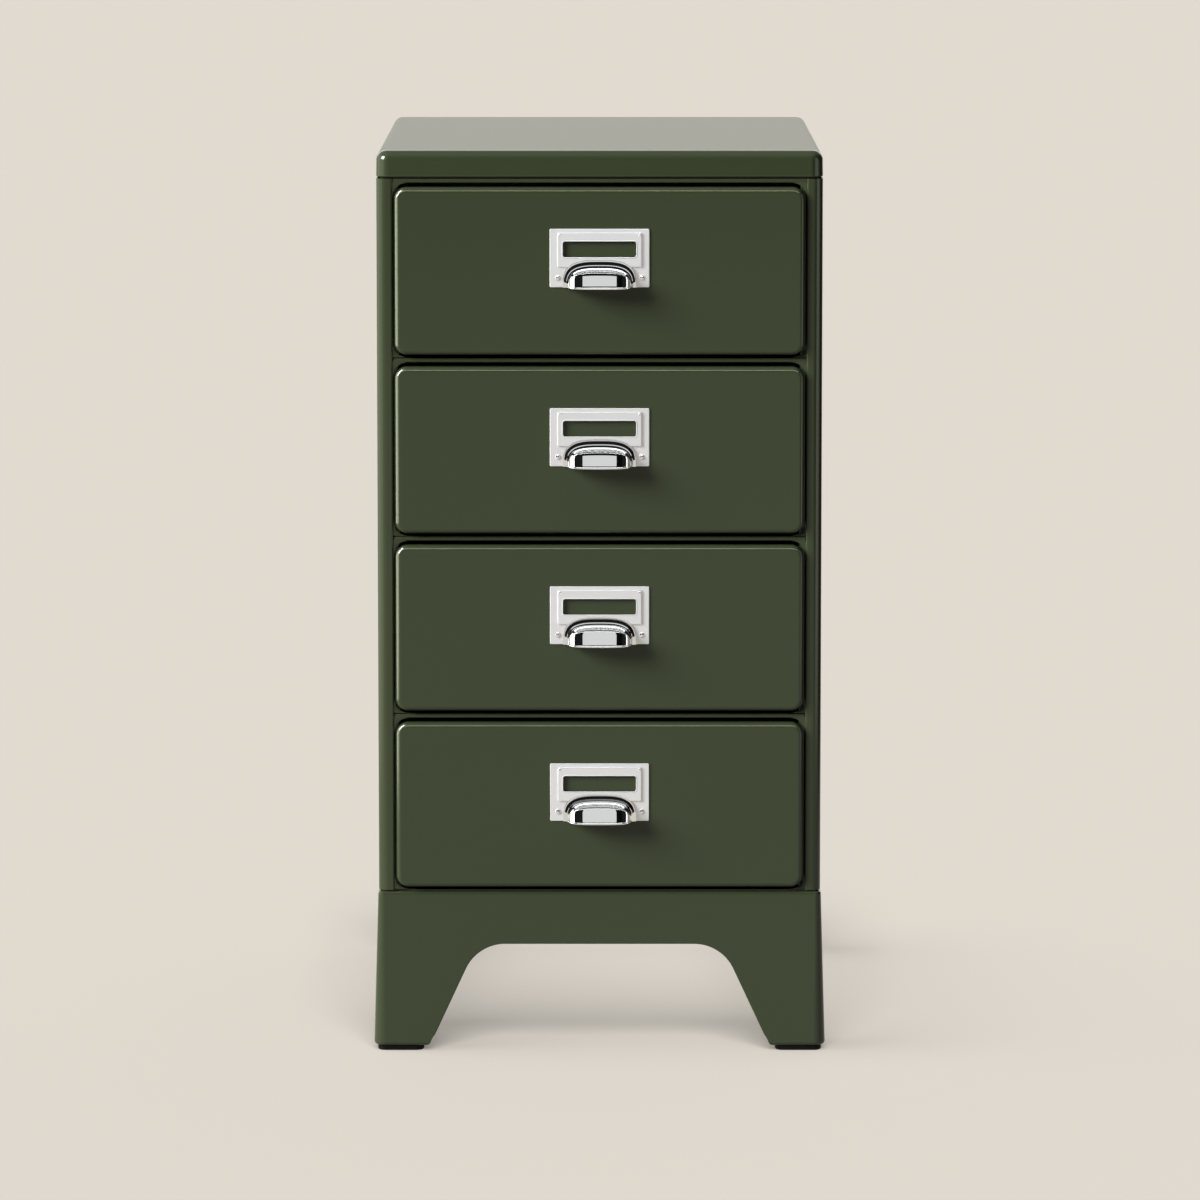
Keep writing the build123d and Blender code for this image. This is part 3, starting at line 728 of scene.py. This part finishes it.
@dataclass
class CupPull:
    """One drawer's cup pull: a moulded flange round a cup with a cambered roof and a beaded lip.

    Attributes:
        number: which drawer, 1 at the top.
        half_width: half of the cup's width.
        roof: the height of the cup's roof where it leaves the flange.
        camber: the point that the cambered roof bends towards, as how far out it is and its height.
        eaves: how far out the roof ends, and its height there.
        brow: how far out the rounding under the eaves ends, and its height there.
        crease: how far out the front band starts, and its height there.
        hem: how far out the front band ends, and its height there.
        groove: the middle point of the hollow between the front band and the lip.
        lip: how far out the hollow ends on the lip, and its height there.
        wall: the cup's wall thickness.
        margin: how far the flange stands out round the cup at its sides.
        rise: how far the flange stands up over the roof.
        moulding: the flange from its back to the cup, as (share of the way out, step forwards) pairs.
        rim: how far out the bead along the lip lies.
        bead: the bead's radius.
        roll: the angles between which the bead is rolled, in degrees.
        tuck: how far in and how far up the bead's middle lies, in bead radii.
        arch_power: how square the cup is, seen from the front.
        columns: points along the arch.
        roll_steps: points round the bead.
    """

    number: int
    half_width: float = 22.6 * MM
    roof: float = 14.0 * MM
    camber: Pair = (8.09 * MM, 13.47 * MM)
    eaves: Pair = (13.2 * MM, 12.15 * MM)
    brow: Pair = (15.3 * MM, 11.2 * MM)
    crease: Pair = (15.7 * MM, 9.6 * MM)
    hem: Pair = (16.78 * MM, 2.6 * MM)
    groove: Pair = (16.95 * MM, 1.5 * MM)
    lip: Pair = (17.13 * MM, 1.19 * MM)
    wall: float = 1.1 * MM
    margin: float = 3.9 * MM
    rise: float = 5.8 * MM
    moulding: tuple[Pair, ...] = (
        (1.0, 0.0), (1.0, 1.25 * MM), (0.985, 1.43 * MM), (0.95, 1.50 * MM), (0.93, 1.50 * MM),
        (0.79, 1.50 * MM), (0.77, 1.52 * MM), (0.75, 1.56 * MM), (0.39, 2.36 * MM), (0.37, 2.40 * MM),
        (0.35, 2.42 * MM), (0.27, 2.44 * MM), (0.25, 2.46 * MM), (0.23, 2.50 * MM), (0.02, 2.97 * MM),
        (0.0, 2.98 * MM),
    )
    rim: float = 17.0 * MM
    bead: float = 0.9 * MM
    roll: Pair = (62.0, -150.0)
    tuck: Pair = (0.35, 0.45)
    arch_power: float = 3.1
    columns: int = 161
    roll_steps: int = 18

    def side_view(self) -> Array:
        """Side view of the cup at its middle, from the flange to the lip.

        The roof is a flat curve of second degree, and another one rounds it into a steep brow, with its
        middle point where the roof's end and the brow would meet. Under the crease, a straight band leans
        out a little towards its hem, and a hollow of the same kind of curve leads on to the lip.

        Returns:
            An array of (reach, height) pairs.
        """
        root = np.array([self.moulding[-1][1], self.roof])
        camber, eaves, brow, crease, hem, groove, lip = np.array([
            self.camber, self.eaves, self.brow, self.crease, self.hem, self.groove, self.lip])
        along = np.linalg.solve(np.stack([eaves - camber, brow - crease], axis=-1), brow - eaves)
        meeting = eaves + along[0] * (eaves - camber)
        # Points crowd at the ends of a straight band, which keeps it straight in its reflections
        way = np.array([0.01, 0.05, 0.3, 0.6, 0.9, 0.99, 1.0])[:, None]
        return np.concatenate([
            bent(root, camber, eaves),
            bent(eaves, meeting, brow),
            brow + way * (crease - brow),
            crease + way * (hem - crease),
            bent(hem, groove, lip),
        ])

    def stations(self) -> Array:
        """Cross-section of the pull: the flange from its back, the cup, its lip, its inside and its back.

        Returns:
            An array of (half width, reach, height, step forwards, lift), each the size of one arch.
        """
        share, step = np.array(self.moulding).T
        reach, height = self.side_view().T
        roll = arc(*self.roll, self.roll_steps)
        out, lift = self.bead * (np.cos(roll) - self.tuck[0]), self.bead * (np.sin(roll) + self.tuck[1])
        half, wall, root = self.half_width, self.wall, step[-1]
        parts = (
            (half + share * self.margin, 0.0, self.roof + share * self.rise, step, 0.0),
            (half, reach - root, height, root, 0.0),
            (half + out, self.rim - root + out, 0.0, root, lift),
            (half - wall, reach[::-1] - wall, height[::-1] - wall, 0.0, 0.0),
            (np.array([half - wall]), 0.0, self.roof - wall, 0.0, 0.0),
        )
        return np.concatenate([np.stack(np.broadcast_arrays(*part), axis=-1) for part in parts])

    def build(self) -> None:
        """Builds the pull where the CAD pull is.

        Every station is the upper half of a superellipse, (across, up). A point lies at the half width
        times across, at the reach times up in front of the station's step, and at the height times up over
        its lift.
        """
        node = f"cup_pull_{self.number}"
        low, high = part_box(node)
        half, reach, height, step, lift = (column[:, None] for column in self.stations().T)
        across, up = superellipse(np.linspace(0, pi, self.columns)[None, :], self.arch_power)
        up = np.abs(up)
        points = np.stack([half * across, high.y - step - reach * up, low.z + lift + height * up], axis=-1)
        Shell(points, wrap_rows=True, wrap_columns=False).build(
            f"cup_{self.number}", f"drawer_{self.number}", Slot.CHROME, node)


@dataclass
class RivetDome:
    """The polished round cap on one of a pull's two rivets.

    Attributes:
        number: which drawer, 1 at the top.
        side: which of the two rivets.
        radius: the cap's radius at the plate.
        rise: how far the cap stands up.
        cad_rise: how far the CAD rivet's head stands up from the plate.
        spread: half of the distance between the two rivets.
        title: how the piece's name begins.
        rings: rings from the cap's foot to its top.
        columns: points round each ring.
        tip: the top ring's size, as a share of the foot's.
    """

    number: int
    side: Side
    radius: float = 2.05 * MM
    rise: float = 1.35 * MM
    cad_rise: float = 1.0 * MM
    spread: float = 30.2 * MM
    title: str = "rivet"
    rings: int = 12
    columns: int = 28
    tip: float = 0.01

    def seat(self) -> Vector:
        """Middle of the cap's foot, on the plate round the CAD rivet."""
        low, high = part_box(f"pull_rivets_{self.number}")
        middle = (low + high) / 2
        return Vector((middle.x + self.side.value * self.spread, low.y + self.cad_rise, middle.z))

    def build(self) -> None:
        """Turns an arc of a circle round the rivet's axis, from the cap's foot to its top."""
        seat = self.seat()
        ball = (self.radius ** 2 + self.rise ** 2) / (2 * self.rise)
        widest = np.arcsin(self.radius / ball)
        polar = np.linspace(widest, self.tip * widest, self.rings)[:, None]
        turn = np.linspace(0, 2 * pi, self.columns, endpoint=False)[None, :]
        points = np.stack(np.broadcast_arrays(
            seat.x + ball * np.sin(polar) * np.cos(turn),
            seat.y - (ball * np.cos(polar) - ball + self.rise),
            seat.z + ball * np.sin(polar) * np.sin(turn),
        ), axis=-1)
        Shell(points, wrap_rows=False, wrap_columns=True).build(
            f"{self.title}_{self.side.name.lower()}_{self.number}", f"drawer_{self.number}", Slot.CHROME)


@dataclass
class PocketRivet(RivetDome):
    """The small flat cap in one of the card pocket's upper corners.

    Attributes:
        drop: from the plate's top down to the cap's middle.
    """

    radius: float = 1.0 * MM
    rise: float = 0.45 * MM
    spread: float = 28.75 * MM
    title: str = "rivet_upper"
    drop: float = 4.15 * MM

    def seat(self) -> Vector:
        """Middle of the cap's foot, on the pocket's face."""
        low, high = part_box(f"label_frame_{self.number}")
        return Vector(((low.x + high.x) / 2 + self.side.value * self.spread, low.y, high.z - self.drop))


@dataclass
class ArchBead:
    """The rolled edge along one of the plinth's arches.

    Attributes:
        face: which side of the plinth.
        leg: the leg's width at its foot.
        crown: the height of the arch's flat crown over the floor.
        shoulder: the radius of the arch's shoulders.
        slant: how far the legs lean, in degrees.
        foot: the height of the leg's underside over the floor.
        start: the height over the floor where the bead starts and ends.
        flare: how far the skirt spreads from top to bottom.
        radius: the bead's own radius.
        inset: how far the bead's middle lies in from the edge.
        sink: how far the bead's middle lies behind the skirt's face.
        closing: the length over which the bead closes at each end.
        tip: its radius at the very end.
        steps: points along a shoulder, down a leg and round the bead.
    """

    face: Face
    leg: float = 40.0 * MM
    crown: float = 79.0 * MM
    shoulder: float = 32.0 * MM
    slant: float = 25.0
    foot: float = 4.0 * MM
    start: float = 9.0 * MM
    flare: float = 3.4 * MM
    radius: float = 0.8 * MM
    inset: float = 0.25 * MM
    sink: float = 0.86 * MM
    closing: float = 3.0 * MM
    tip: float = 0.02 * MM
    steps: tuple[int, int, int] = (24, 16, 14)

    def path(self, half_span: float) -> tuple[Array, Array]:
        """The right half of the arch's edge, from the middle of its crown to the leg, then mirrored.

        The crown runs straight to the shoulder, the shoulder is an arc that turns by a right angle less the
        slant, and the leg runs straight down at the slant.

        Args:
            half_span: half of the plinth's width at the floor on this side.

        Returns:
            Points along the edge, and the directions into the sheet there, as arrays of two coordinates.
        """
        lean = radians(self.slant)
        toe = half_span - self.leg
        corner = toe - (self.crown - self.foot) * np.tan(lean)
        tangent = self.shoulder * np.tan((pi / 2 - lean) / 2)
        turn = np.linspace(pi / 2, lean, self.steps[0])
        centre = np.array([corner - tangent, self.crown - self.shoulder])
        away = np.stack([np.cos(turn), np.sin(turn)], axis=-1)
        bend = centre + self.shoulder * away
        fall = np.linspace(bend[-1, 1], self.start, self.steps[1])[1:]
        leg = np.stack([toe - (fall - self.foot) * np.tan(lean), fall], axis=-1)
        points = np.concatenate([[[0.0, self.crown]], bend, leg])
        ways = np.concatenate([[[0.0, 1.0]], away, np.broadcast_to(away[-1], leg.shape)])
        flip = np.array([-1.0, 1.0])
        return np.concatenate([points[:0:-1] * flip, points]), np.concatenate([ways[:0:-1] * flip, ways])

    def build(self) -> None:
        """Carries a circle along the edge and closes it to a point at both ends.

        Each ring is the edge point, sunk into the sheet, plus the bead's radius times the cosine along the
        way into the sheet and the sine along the way out of the skirt. Towards an end, the radius follows a
        quarter circle: the square root of share times (2 - share), where the share is how far away the end
        is, in closing lengths.
        """
        low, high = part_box("plinth")
        middle, half = (low + high) / 2, (high - low) / 2
        out = np.array([*self.face.value, 0.0])
        along, up = np.abs(out[[1, 0, 2]]), np.array([0.0, 0.0, 1.0])
        half_span, reach = (half.x, half.y) if out[1] else (half.y, half.x)
        points, ways = self.path(half_span)
        travelled = np.concatenate([[0], np.cumsum(np.linalg.norm(np.diff(points, axis=0), axis=1))])
        share = np.clip(np.minimum(travelled, travelled[-1] - travelled) / self.closing, 0.0, 1.0)
        size = np.maximum(self.radius * np.sqrt(share * (2 - share)), self.tip)
        fall_in = (points[:, 1] - low.z) * self.flare / (high.z - low.z)
        middles = points + self.inset * ways
        spine = (np.array([middle.x, middle.y, 0.0]) + middles[:, :1] * along + middles[:, 1:] * up
                 + (reach - fall_in - self.sink)[:, None] * out)
        inwards = ways[:, :1] * along + ways[:, 1:] * up
        angle = np.linspace(0, 2 * pi, self.steps[2], endpoint=False)[None, :, None]
        ring = np.cos(angle) * inwards[:, None, :] + np.sin(angle) * out
        Shell(spine[:, None, :] + size[:, None, None] * ring, wrap_rows=False, wrap_columns=True).build(
            f"arch_bead_{self.face.name.lower()}", "carcass", Slot.PAINT)


@dataclass
class CornerWeb:
    """The web that fills one corner of a drawer's opening, with a hollow edge that follows the front.

    Attributes:
        number: which drawer, 1 at the top.
        side: whether it is a left or a right corner.
        end: whether it is a bottom or a top corner.
        corner_radius: the corner radius of the drawer's front.
        gap: how far the front stays away from the opening at its sides, and at its top and bottom.
        seam: the slit between a bottom web and the rail under it.
        lap: how far the web runs into the post, and on to the rail over it.
        least_lap: the least that the far edge runs on at its ends.
        sheet: the web's thickness.
        proud: how far the web stands in front of the rails.
        edge: the rolled hollow edge, as (share of the way to the corner, share of the thickness) pairs.
        steps: points along the hollow edge.
    """

    number: int
    side: Side
    end: End
    corner_radius: float = 8.5 * MM
    gap: Pair = (1.5 * MM, 2.7 * MM)
    seam: float = 0.8 * MM
    lap: Pair = (0.5 * MM, 1.2 * MM)
    least_lap: float = 0.05 * MM
    sheet: float = 1.0 * MM
    proud: float = 0.02 * MM
    edge: tuple[Pair, ...] = (
        (0.0, 1.0), (0.0, 0.3), (0.02, 0.1), (0.08, 0.0), (1.0, 0.0), (1.0, 1.0))
    steps: int = 16

    def build(self) -> None:
        """Carries the web's section round the corner.

        The hollow edge is a quarter of an ellipse round the middle of the front's own corner arc. The far
        edge lies on the same rays, divided by the larger of their cosine and sine, so on the two sides of
        the square corner.
        """
        low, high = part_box(f"drawer_front_{self.number}")
        middle, half = (low + high) / 2, (high - low) / 2
        slit, lap = (0.0, self.lap[1]) if self.end is End.TOP else (self.seam, 0.0)
        way = arc(0, 90, self.steps)
        across, up = np.cos(way), np.sin(way)
        square = np.maximum(across, up)
        wide, tall = self.corner_radius + self.gap[0], self.corner_radius + self.gap[1] - slit
        near = np.stack([wide * across, tall * up])
        taper = np.maximum(lap * np.sqrt(np.abs(across)), self.least_lap)
        far = np.stack([(wide + self.lap[0]) * across, (tall + taper) * up]) / square
        share, depth = np.array(self.edge).T[:, :, None]
        x, z = (near[axis] + share * (far - near)[axis] for axis in (0, 1))
        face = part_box("top_rail")[0].y - self.proud
        points = np.stack(np.broadcast_arrays(
            middle.x + self.side.value * (half.x - self.corner_radius + x),
            face + self.sheet * depth,
            middle.z + self.end.value * (half.z - self.corner_radius + z),
        ), axis=-1)
        place = f"{self.end.name}_{self.side.name}".lower()
        Shell(points, wrap_rows=True, wrap_columns=False).build(
            f"corner_web_{place}_{self.number}", "carcass", Slot.PAINT)


class PackedSteel:
    """The CAD nodes that keep their own shape, and only get their finish."""

    def dress(self) -> None:
        """Puts the finish of its record slot on every node."""
        slots = {row["node"]: Slot(row["material_slot"]) for row in frame["record"]["subparts"]}
        for name, node in frame["nodes"].items():
            node.data.materials.clear()
            node.data.materials.append(FINISHES[slots[name]].material())
            LOG.info("%s: %s", name, slots[name].value)


@dataclass(frozen=True)
class LightPanel:
    """A soft-edged panel of light in the studio's surroundings, far away.

    Attributes:
        towards: the direction of its middle.
        half_width: the sine of half of its angle across.
        half_height: the sine of half of its angle upwards.
        fade: how wide its soft edge is, as a difference of sines.
        strength: the light that it adds.
        onset: where its own side begins and is full, as cosines from its middle.
    """

    towards: Direction
    half_width: float
    half_height: float
    fade: float
    strength: float
    onset: Pair = (0.0, 0.1)

    def axes(self) -> tuple[Array, Array, Array]:
        """Directions towards the panel's middle, across it and up it."""
        middle = np.array(self.towards) / np.linalg.norm(self.towards)
        across = np.cross(middle, (0.0, 0.0, 1.0))
        across = across / np.linalg.norm(across)
        return middle, across, np.cross(across, middle)


def studio_sheet(name: str, corners: list[Triple], material: bpy.types.Material) -> bpy.types.Object:
    """Makes a flat four-cornered sheet that belongs to the studio.

    Args:
        name: the sheet's name.
        corners: its four corners, in turn.
        material: its material.

    Returns:
        The sheet.
    """
    mesh = bpy.data.meshes.new(name)
    mesh.from_pydata(corners, [], [(0, 1, 2, 3)])
    mesh.materials.append(material)
    sheet = bpy.data.objects.new(name, mesh)
    bpy.context.scene.collection.objects.link(sheet)
    return sheet


def pieces_named(*starts: str) -> bpy.types.Collection:
    """Gathers pieces by their names.

    Args:
        starts: how the names begin.

    Returns:
        A collection of all pieces with such names, which only lamps use.
    """
    group = bpy.data.collections.new("lamp_group")
    for piece in bpy.context.scene.objects:
        if piece.type == "MESH" and piece.name.startswith(starts):
            group.objects.link(piece)
    return group


@dataclass(frozen=True)
class ReflectorCard:
    """A bright card that shows in shiny surfaces and lights nothing else.

    Attributes:
        name: the lamp's name.
        place: the card's middle.
        aim: the point that it faces.
        size: its width and height.
        strength: how bright it is.
        takers: how the names of the pieces that mirror it begin.
        colour: its colour, linear.
    """

    name: str
    place: Triple
    aim: Triple
    size: Pair
    strength: float
    takers: tuple[str, ...]
    colour: Colour = (1.0, 1.0, 1.0)

    def build(self) -> None:
        """Hangs the card so that it faces its aim."""
        data = bpy.data.lights.new(self.name, "AREA")
        data.shape = "RECTANGLE"
        data.size, data.size_y = self.size
        data.energy = self.strength * pi * data.size * data.size_y
        data.color = self.colour
        card = bpy.data.objects.new(self.name, data)
        card.location = self.place
        card.rotation_euler = (Vector(self.place) - Vector(self.aim)).to_track_quat("Z", "Y").to_euler()
        card.visible_camera = False
        card.visible_diffuse = False
        card.light_linking.receiver_collection = pieces_named(*self.takers)
        bpy.context.scene.collection.objects.link(card)


@dataclass(frozen=True)
class SoftSun:
    """A far lamp that is a wide soft disc.

    Attributes:
        name: the lamp's name.
        towards: the direction of its middle.
        angle: how wide it is, in degrees.
        power: its strength.
        takers: how the names of the pieces that it lights begin.
        blockers: how the names of the pieces that shade it begin.
    """

    name: str
    towards: Direction
    angle: float
    power: float
    takers: tuple[str, ...]
    blockers: tuple[str, ...] = ALL

    def build(self) -> None:
        """Hangs the lamp, which doesn't show in shiny surfaces."""
        data = bpy.data.lights.new(self.name, "SUN")
        data.energy = self.power
        data.angle = radians(self.angle)
        lamp = bpy.data.objects.new(self.name, data)
        lamp.rotation_euler = Vector(self.towards).to_track_quat("Z", "Y").to_euler()
        lamp.visible_glossy = False
        lamp.light_linking.receiver_collection = pieces_named(*self.takers)
        lamp.light_linking.blocker_collection = pieces_named(*self.blockers)
        bpy.context.scene.collection.objects.link(lamp)


@dataclass
class Studio:
    """A pale floor, soft light from above and from the left, and the camera.

    Attributes:
        backdrop: the floor's colour as the camera sees it, linear.
        floor_paint: the floor's own colour, linear.
        floor_bounce: how much of the floor's light goes up on to the cabinet.
        shadow_share: how much of the floor's look comes from the light on it, so how deep its shadows are.
        floor_reach: how far the floor goes to the sides and back, and to the front.
        room_front: the light of the dark room in front of the cabinet.
        room_back: the light of the pale backdrop behind it.
        room_turn: where the backdrop begins and is full, as cosines from straight back.
        panels: the panels of light.
        key: the lamp for the cabinet, from the upper left.
        floor_lights: the lamps for the floor, from the front and from the left.
        cards: the bright cards that show in shiny surfaces only.
        flags: where each black flag on the right begins and ends, from front to back.
        flag_place: how far to the right the flags stand.
        flag_height: how high they are.
        flag_paint: their colour, linear.
        lens: the camera's focal length in millimetres.
        sensor: the width of its sensor in millimetres.
        sight: how far it sees.
        stand: where it stands.
        pitch: how far it looks down, in degrees.
    """

    backdrop: Colour = (0.752, 0.701, 0.631)
    floor_paint: Colour = (0.22, 0.206, 0.186)
    floor_bounce: float = 0.35
    shadow_share: float = 0.70
    floor_reach: Pair = (60.0, 9.0)
    room_front: Colour = (0.012, 0.012, 0.012)
    room_back: Colour = (0.58, 0.568, 0.515)
    room_turn: Pair = (-0.25, 0.55)
    panels: tuple[LightPanel, ...] = (
        LightPanel(towards=(0.0, -0.35, 1.0), half_width=0.55, half_height=0.26, fade=0.12, strength=0.50),
        LightPanel(towards=(0.0, 1.0, 0.36), half_width=0.60, half_height=0.10, fade=0.06, strength=2.20),
        LightPanel(towards=(-1.0, 0.30, 0.30), half_width=0.30, half_height=0.35, fade=0.10, strength=0.40),
    )
    key: SoftSun = SoftSun("key_lamp", towards=(-0.8075, -0.411, 0.4226), angle=28.0, power=6.2, takers=ALL)
    floor_lights: tuple[SoftSun, ...] = (
        SoftSun("floor_front_lamp", towards=(0.0, -1.4, 1.0), angle=40.0, power=11.4,
                takers=(FLOOR,), blockers=STANDING),
        SoftSun("floor_left_lamp", towards=(-0.8, -0.15, 1.0), angle=60.0, power=3.4,
                takers=(FLOOR,), blockers=STANDING),
    )
    cards: tuple[ReflectorCard, ...] = (
        ReflectorCard("left_card", (-1.5, 0.0, 0.80), (0.0, 0.0, 0.80), (1.8, 1.6), 2.8, POLISHED),
        ReflectorCard("right_card", (1.5, -0.22, 0.80), (0.0, -0.22, 0.80), (0.55, 1.6), 1.6, POLISHED),
        ReflectorCard("top_card", (0.0, -1.30, 2.10), (0.0, -0.20, 0.45), (3.0, 0.45), 5.0, POLISHED),
        ReflectorCard("front_card", (0.0, -3.20, 0.97), (0.0, 0.0, 0.97), (2.4, 1.1), 0.76, POLISHED),
        ReflectorCard("brow_card", (0.0, -4.20, 2.80), (0.0, -0.20, 0.40), (5.0, 1.2), 9.4,
                      ("drawer_pan",), OLIVE),
        ReflectorCard("edge_card", (-1.5, -0.60, 0.60), (0.0, -0.60, 0.60), (2.4, 1.4), 9.6,
                      ("drawer_pan",), OLIVE),
        ReflectorCard("glint_card", (-1.775, -1.03, 1.445), (-0.16, -0.21, 0.50), (1.1, 1.1), 40.0,
                      ("lid_pan",)),
        ReflectorCard("corner_card", (-1.65, -1.14, 1.645), (-0.16, -0.21, 0.50), (1.0, 1.7), 60.0,
                      ("drawer_pan",)),
        ReflectorCard("post_card", (-1.5, -0.45, 0.60), (0.0, -0.45, 0.60), (2.0, 1.6), 1.2,
                      ("side_panel", "plinth", "lid_pan"), OLIVE),
        ReflectorCard("rim_card", (1.56, -0.98, 0.60), (0.16, -0.20, 0.60), (0.9, 1.4), 1.6,
                      ("side_panel", "drawer_pan", "lid_pan"), OLIVE),
    )
    flags: tuple[Pair, ...] = ((-4.2, -1.45), (-0.15, 1.2))
    flag_place: float = 1.3
    flag_height: float = 1.4
    flag_paint: Colour = (0.01, 0.01, 0.01)
    lens: float = 203.73
    sensor: float = 36.0
    sight: float = 200.0
    stand: Triple = (0.0003, -5.0699, 0.9499)
    pitch: float = 7.267

    def build(self) -> None:
        """Makes the surroundings, the lamps, the floor, the cards, the flags and the camera.

        The key lamp is linked to the pieces that are there when it is made, so it comes before the floor, and
        the floor's lamps come after it.
        """
        self.surroundings()
        self.key.build()
        self.floor()
        for lamp in (*self.floor_lights, *self.cards):
            lamp.build()
        self.black_flags()
        self.camera()

    def along(self, graph: NodeGraph, direction: Socket, axis: Array) -> Socket:
        """How far a direction goes along an axis: their dot product.

        Args:
            graph: the world's node graph.
            direction: the socket with the direction that is looked at.
            axis: the axis.

        Returns:
            The socket with the product.
        """
        product = graph.node("ShaderNodeVectorMath", operation="DOT_PRODUCT")
        graph.link(direction, product, 0)
        product.inputs[1].default_value = axis
        return product.outputs["Value"]

    def panel(self, graph: NodeGraph, direction: Socket, panel: LightPanel) -> Socket:
        """Adds one panel: full inside its half angles on its own side, and fading out past them.

        Args:
            graph: the world's node graph.
            direction: the socket with the direction that is looked at.
            panel: the panel of light.

        Returns:
            The socket with the panel's light in each direction.
        """
        middle, across, up = panel.axes()
        light = graph.ramp(self.along(graph, direction, middle), panel.onset, (0.0, panel.strength))
        for axis, half in ((across, panel.half_width), (up, panel.half_height)):
            off = graph.math("ABSOLUTE", self.along(graph, direction, axis), 0.0)
            light = graph.math("MULTIPLY", light, graph.ramp(off, (half, half + panel.fade), (1.0, 0.0)))
        return light

    def surroundings(self) -> None:
        """Lights the scene with a dark room in front, a pale backdrop behind, and the panels of light."""
        world = bpy.data.worlds.new("studio")
        bpy.context.scene.world = world
        world.use_nodes = True
        graph = NodeGraph(world.node_tree)
        direction = graph.node("ShaderNodeTexCoord").outputs["Generated"]
        back = graph.ramp(self.along(graph, direction, np.array([0.0, 1.0, 0.0])), self.room_turn, (0.0, 1.0))
        room = graph.node("ShaderNodeBackground")
        graph.link(graph.tint(back, self.room_front, self.room_back), room, "Color")
        light = self.panel(graph, direction, self.panels[0])
        for panel in self.panels[1:]:
            light = graph.math("ADD", light, self.panel(graph, direction, panel))
        panels = graph.node("ShaderNodeBackground", {"Color": (1.0, 1.0, 1.0, 1.0)})
        graph.link(light, panels, "Strength")
        lit = graph.node("ShaderNodeAddShader")
        graph.link(room.outputs[0], lit, 0)
        graph.link(panels.outputs[0], lit, 1)
        seen = graph.node("ShaderNodeBackground", {"Color": (*self.backdrop, 1.0)})
        chosen = graph.node("ShaderNodeMixShader")
        graph.link(graph.node("ShaderNodeLightPath").outputs["Is Camera Ray"], chosen, 0)
        graph.link(lit.outputs[0], chosen, 1)
        graph.link(seen.outputs[0], chosen, 2)
        graph.link(chosen.outputs[0], graph.node("ShaderNodeOutputWorld"), "Surface")

    def black_flags(self) -> None:
        """Stands black flags on the right, which show in shiny surfaces only and cast no shadow."""
        material, graph = new_material("studio flag")
        black = graph.node("ShaderNodeBsdfDiffuse", {"Color": (*self.flag_paint, 1.0)})
        graph.link(black.outputs[0], graph.node("ShaderNodeOutputMaterial"), "Surface")
        side, top = self.flag_place, self.flag_height
        for number, (front, back) in enumerate(self.flags, 1):
            corners = [(side, front, 0.0), (side, back, 0.0), (side, back, top), (side, front, top)]
            flag = studio_sheet(f"studio_flag_{number}", corners, material)
            flag.visible_camera = False
            flag.visible_diffuse = False
            flag.visible_shadow = False

    def floor(self) -> None:
        """Lays the floor: its own light and shadow, mixed with its plain colour for eyes and mirrors."""
        material, graph = new_material("studio floor")
        path = graph.node("ShaderNodeLightPath")
        seen = graph.math("MAXIMUM", path.outputs["Is Camera Ray"], path.outputs["Is Glossy Ray"])
        seen = graph.math("MAXIMUM", seen, path.outputs["Is Transmission Ray"])
        share = graph.math("MULTIPLY", seen, 1.0 - self.shadow_share)
        dim = tuple(self.floor_bounce * part for part in self.floor_paint)
        lit = graph.node("ShaderNodeBsdfDiffuse")
        graph.link(graph.tint(seen, dim, self.floor_paint), lit, "Color")
        plain = graph.node("ShaderNodeEmission", {"Color": (*self.backdrop, 1.0)})
        mixed = graph.node("ShaderNodeMixShader")
        graph.link(share, mixed, 0)
        graph.link(lit.outputs[0], mixed, 1)
        graph.link(plain.outputs[0], mixed, 2)
        graph.link(mixed.outputs[0], graph.node("ShaderNodeOutputMaterial"), "Surface")
        side, front = self.floor_reach
        corners = [(-side, -front, 0.0), (side, -front, 0.0), (side, side, 0.0), (-side, side, 0.0)]
        studio_sheet(FLOOR, corners, material)

    def camera(self) -> None:
        """Stands the camera straight in front of the cabinet, a little above it and looking down."""
        data = bpy.data.cameras.new("studio_camera")
        data.lens = self.lens
        data.sensor_width = self.sensor
        data.clip_end = self.sight
        camera = bpy.data.objects.new("studio_camera", data)
        camera.location = self.stand
        camera.rotation_euler = (radians(90.0 - self.pitch), 0.0, 0.0)
        bpy.context.scene.collection.objects.link(camera)
        bpy.context.scene.camera = camera
        bpy.context.scene.view_settings.view_transform = "Standard"


def main() -> None:
    """Builds the cabinet's pieces in order, then the studio round them."""
    logging.basicConfig(level=logging.INFO, format="%(name)s: %(message)s")
    PackedSteel().dress()
    Lid().build()
    for number in DRAWERS:
        DrawerFront(number).build()
        LabelFrame(number).build()
        CupPull(number).build()
        for side in Side:
            RivetDome(number, side).build()
            PocketRivet(number, side).build()
            for end in End:
                CornerWeb(number, side, end).build()
    for face in Face:
        ArchBead(face).build()
    Studio().build()


if __name__ == "__main__":
    main()
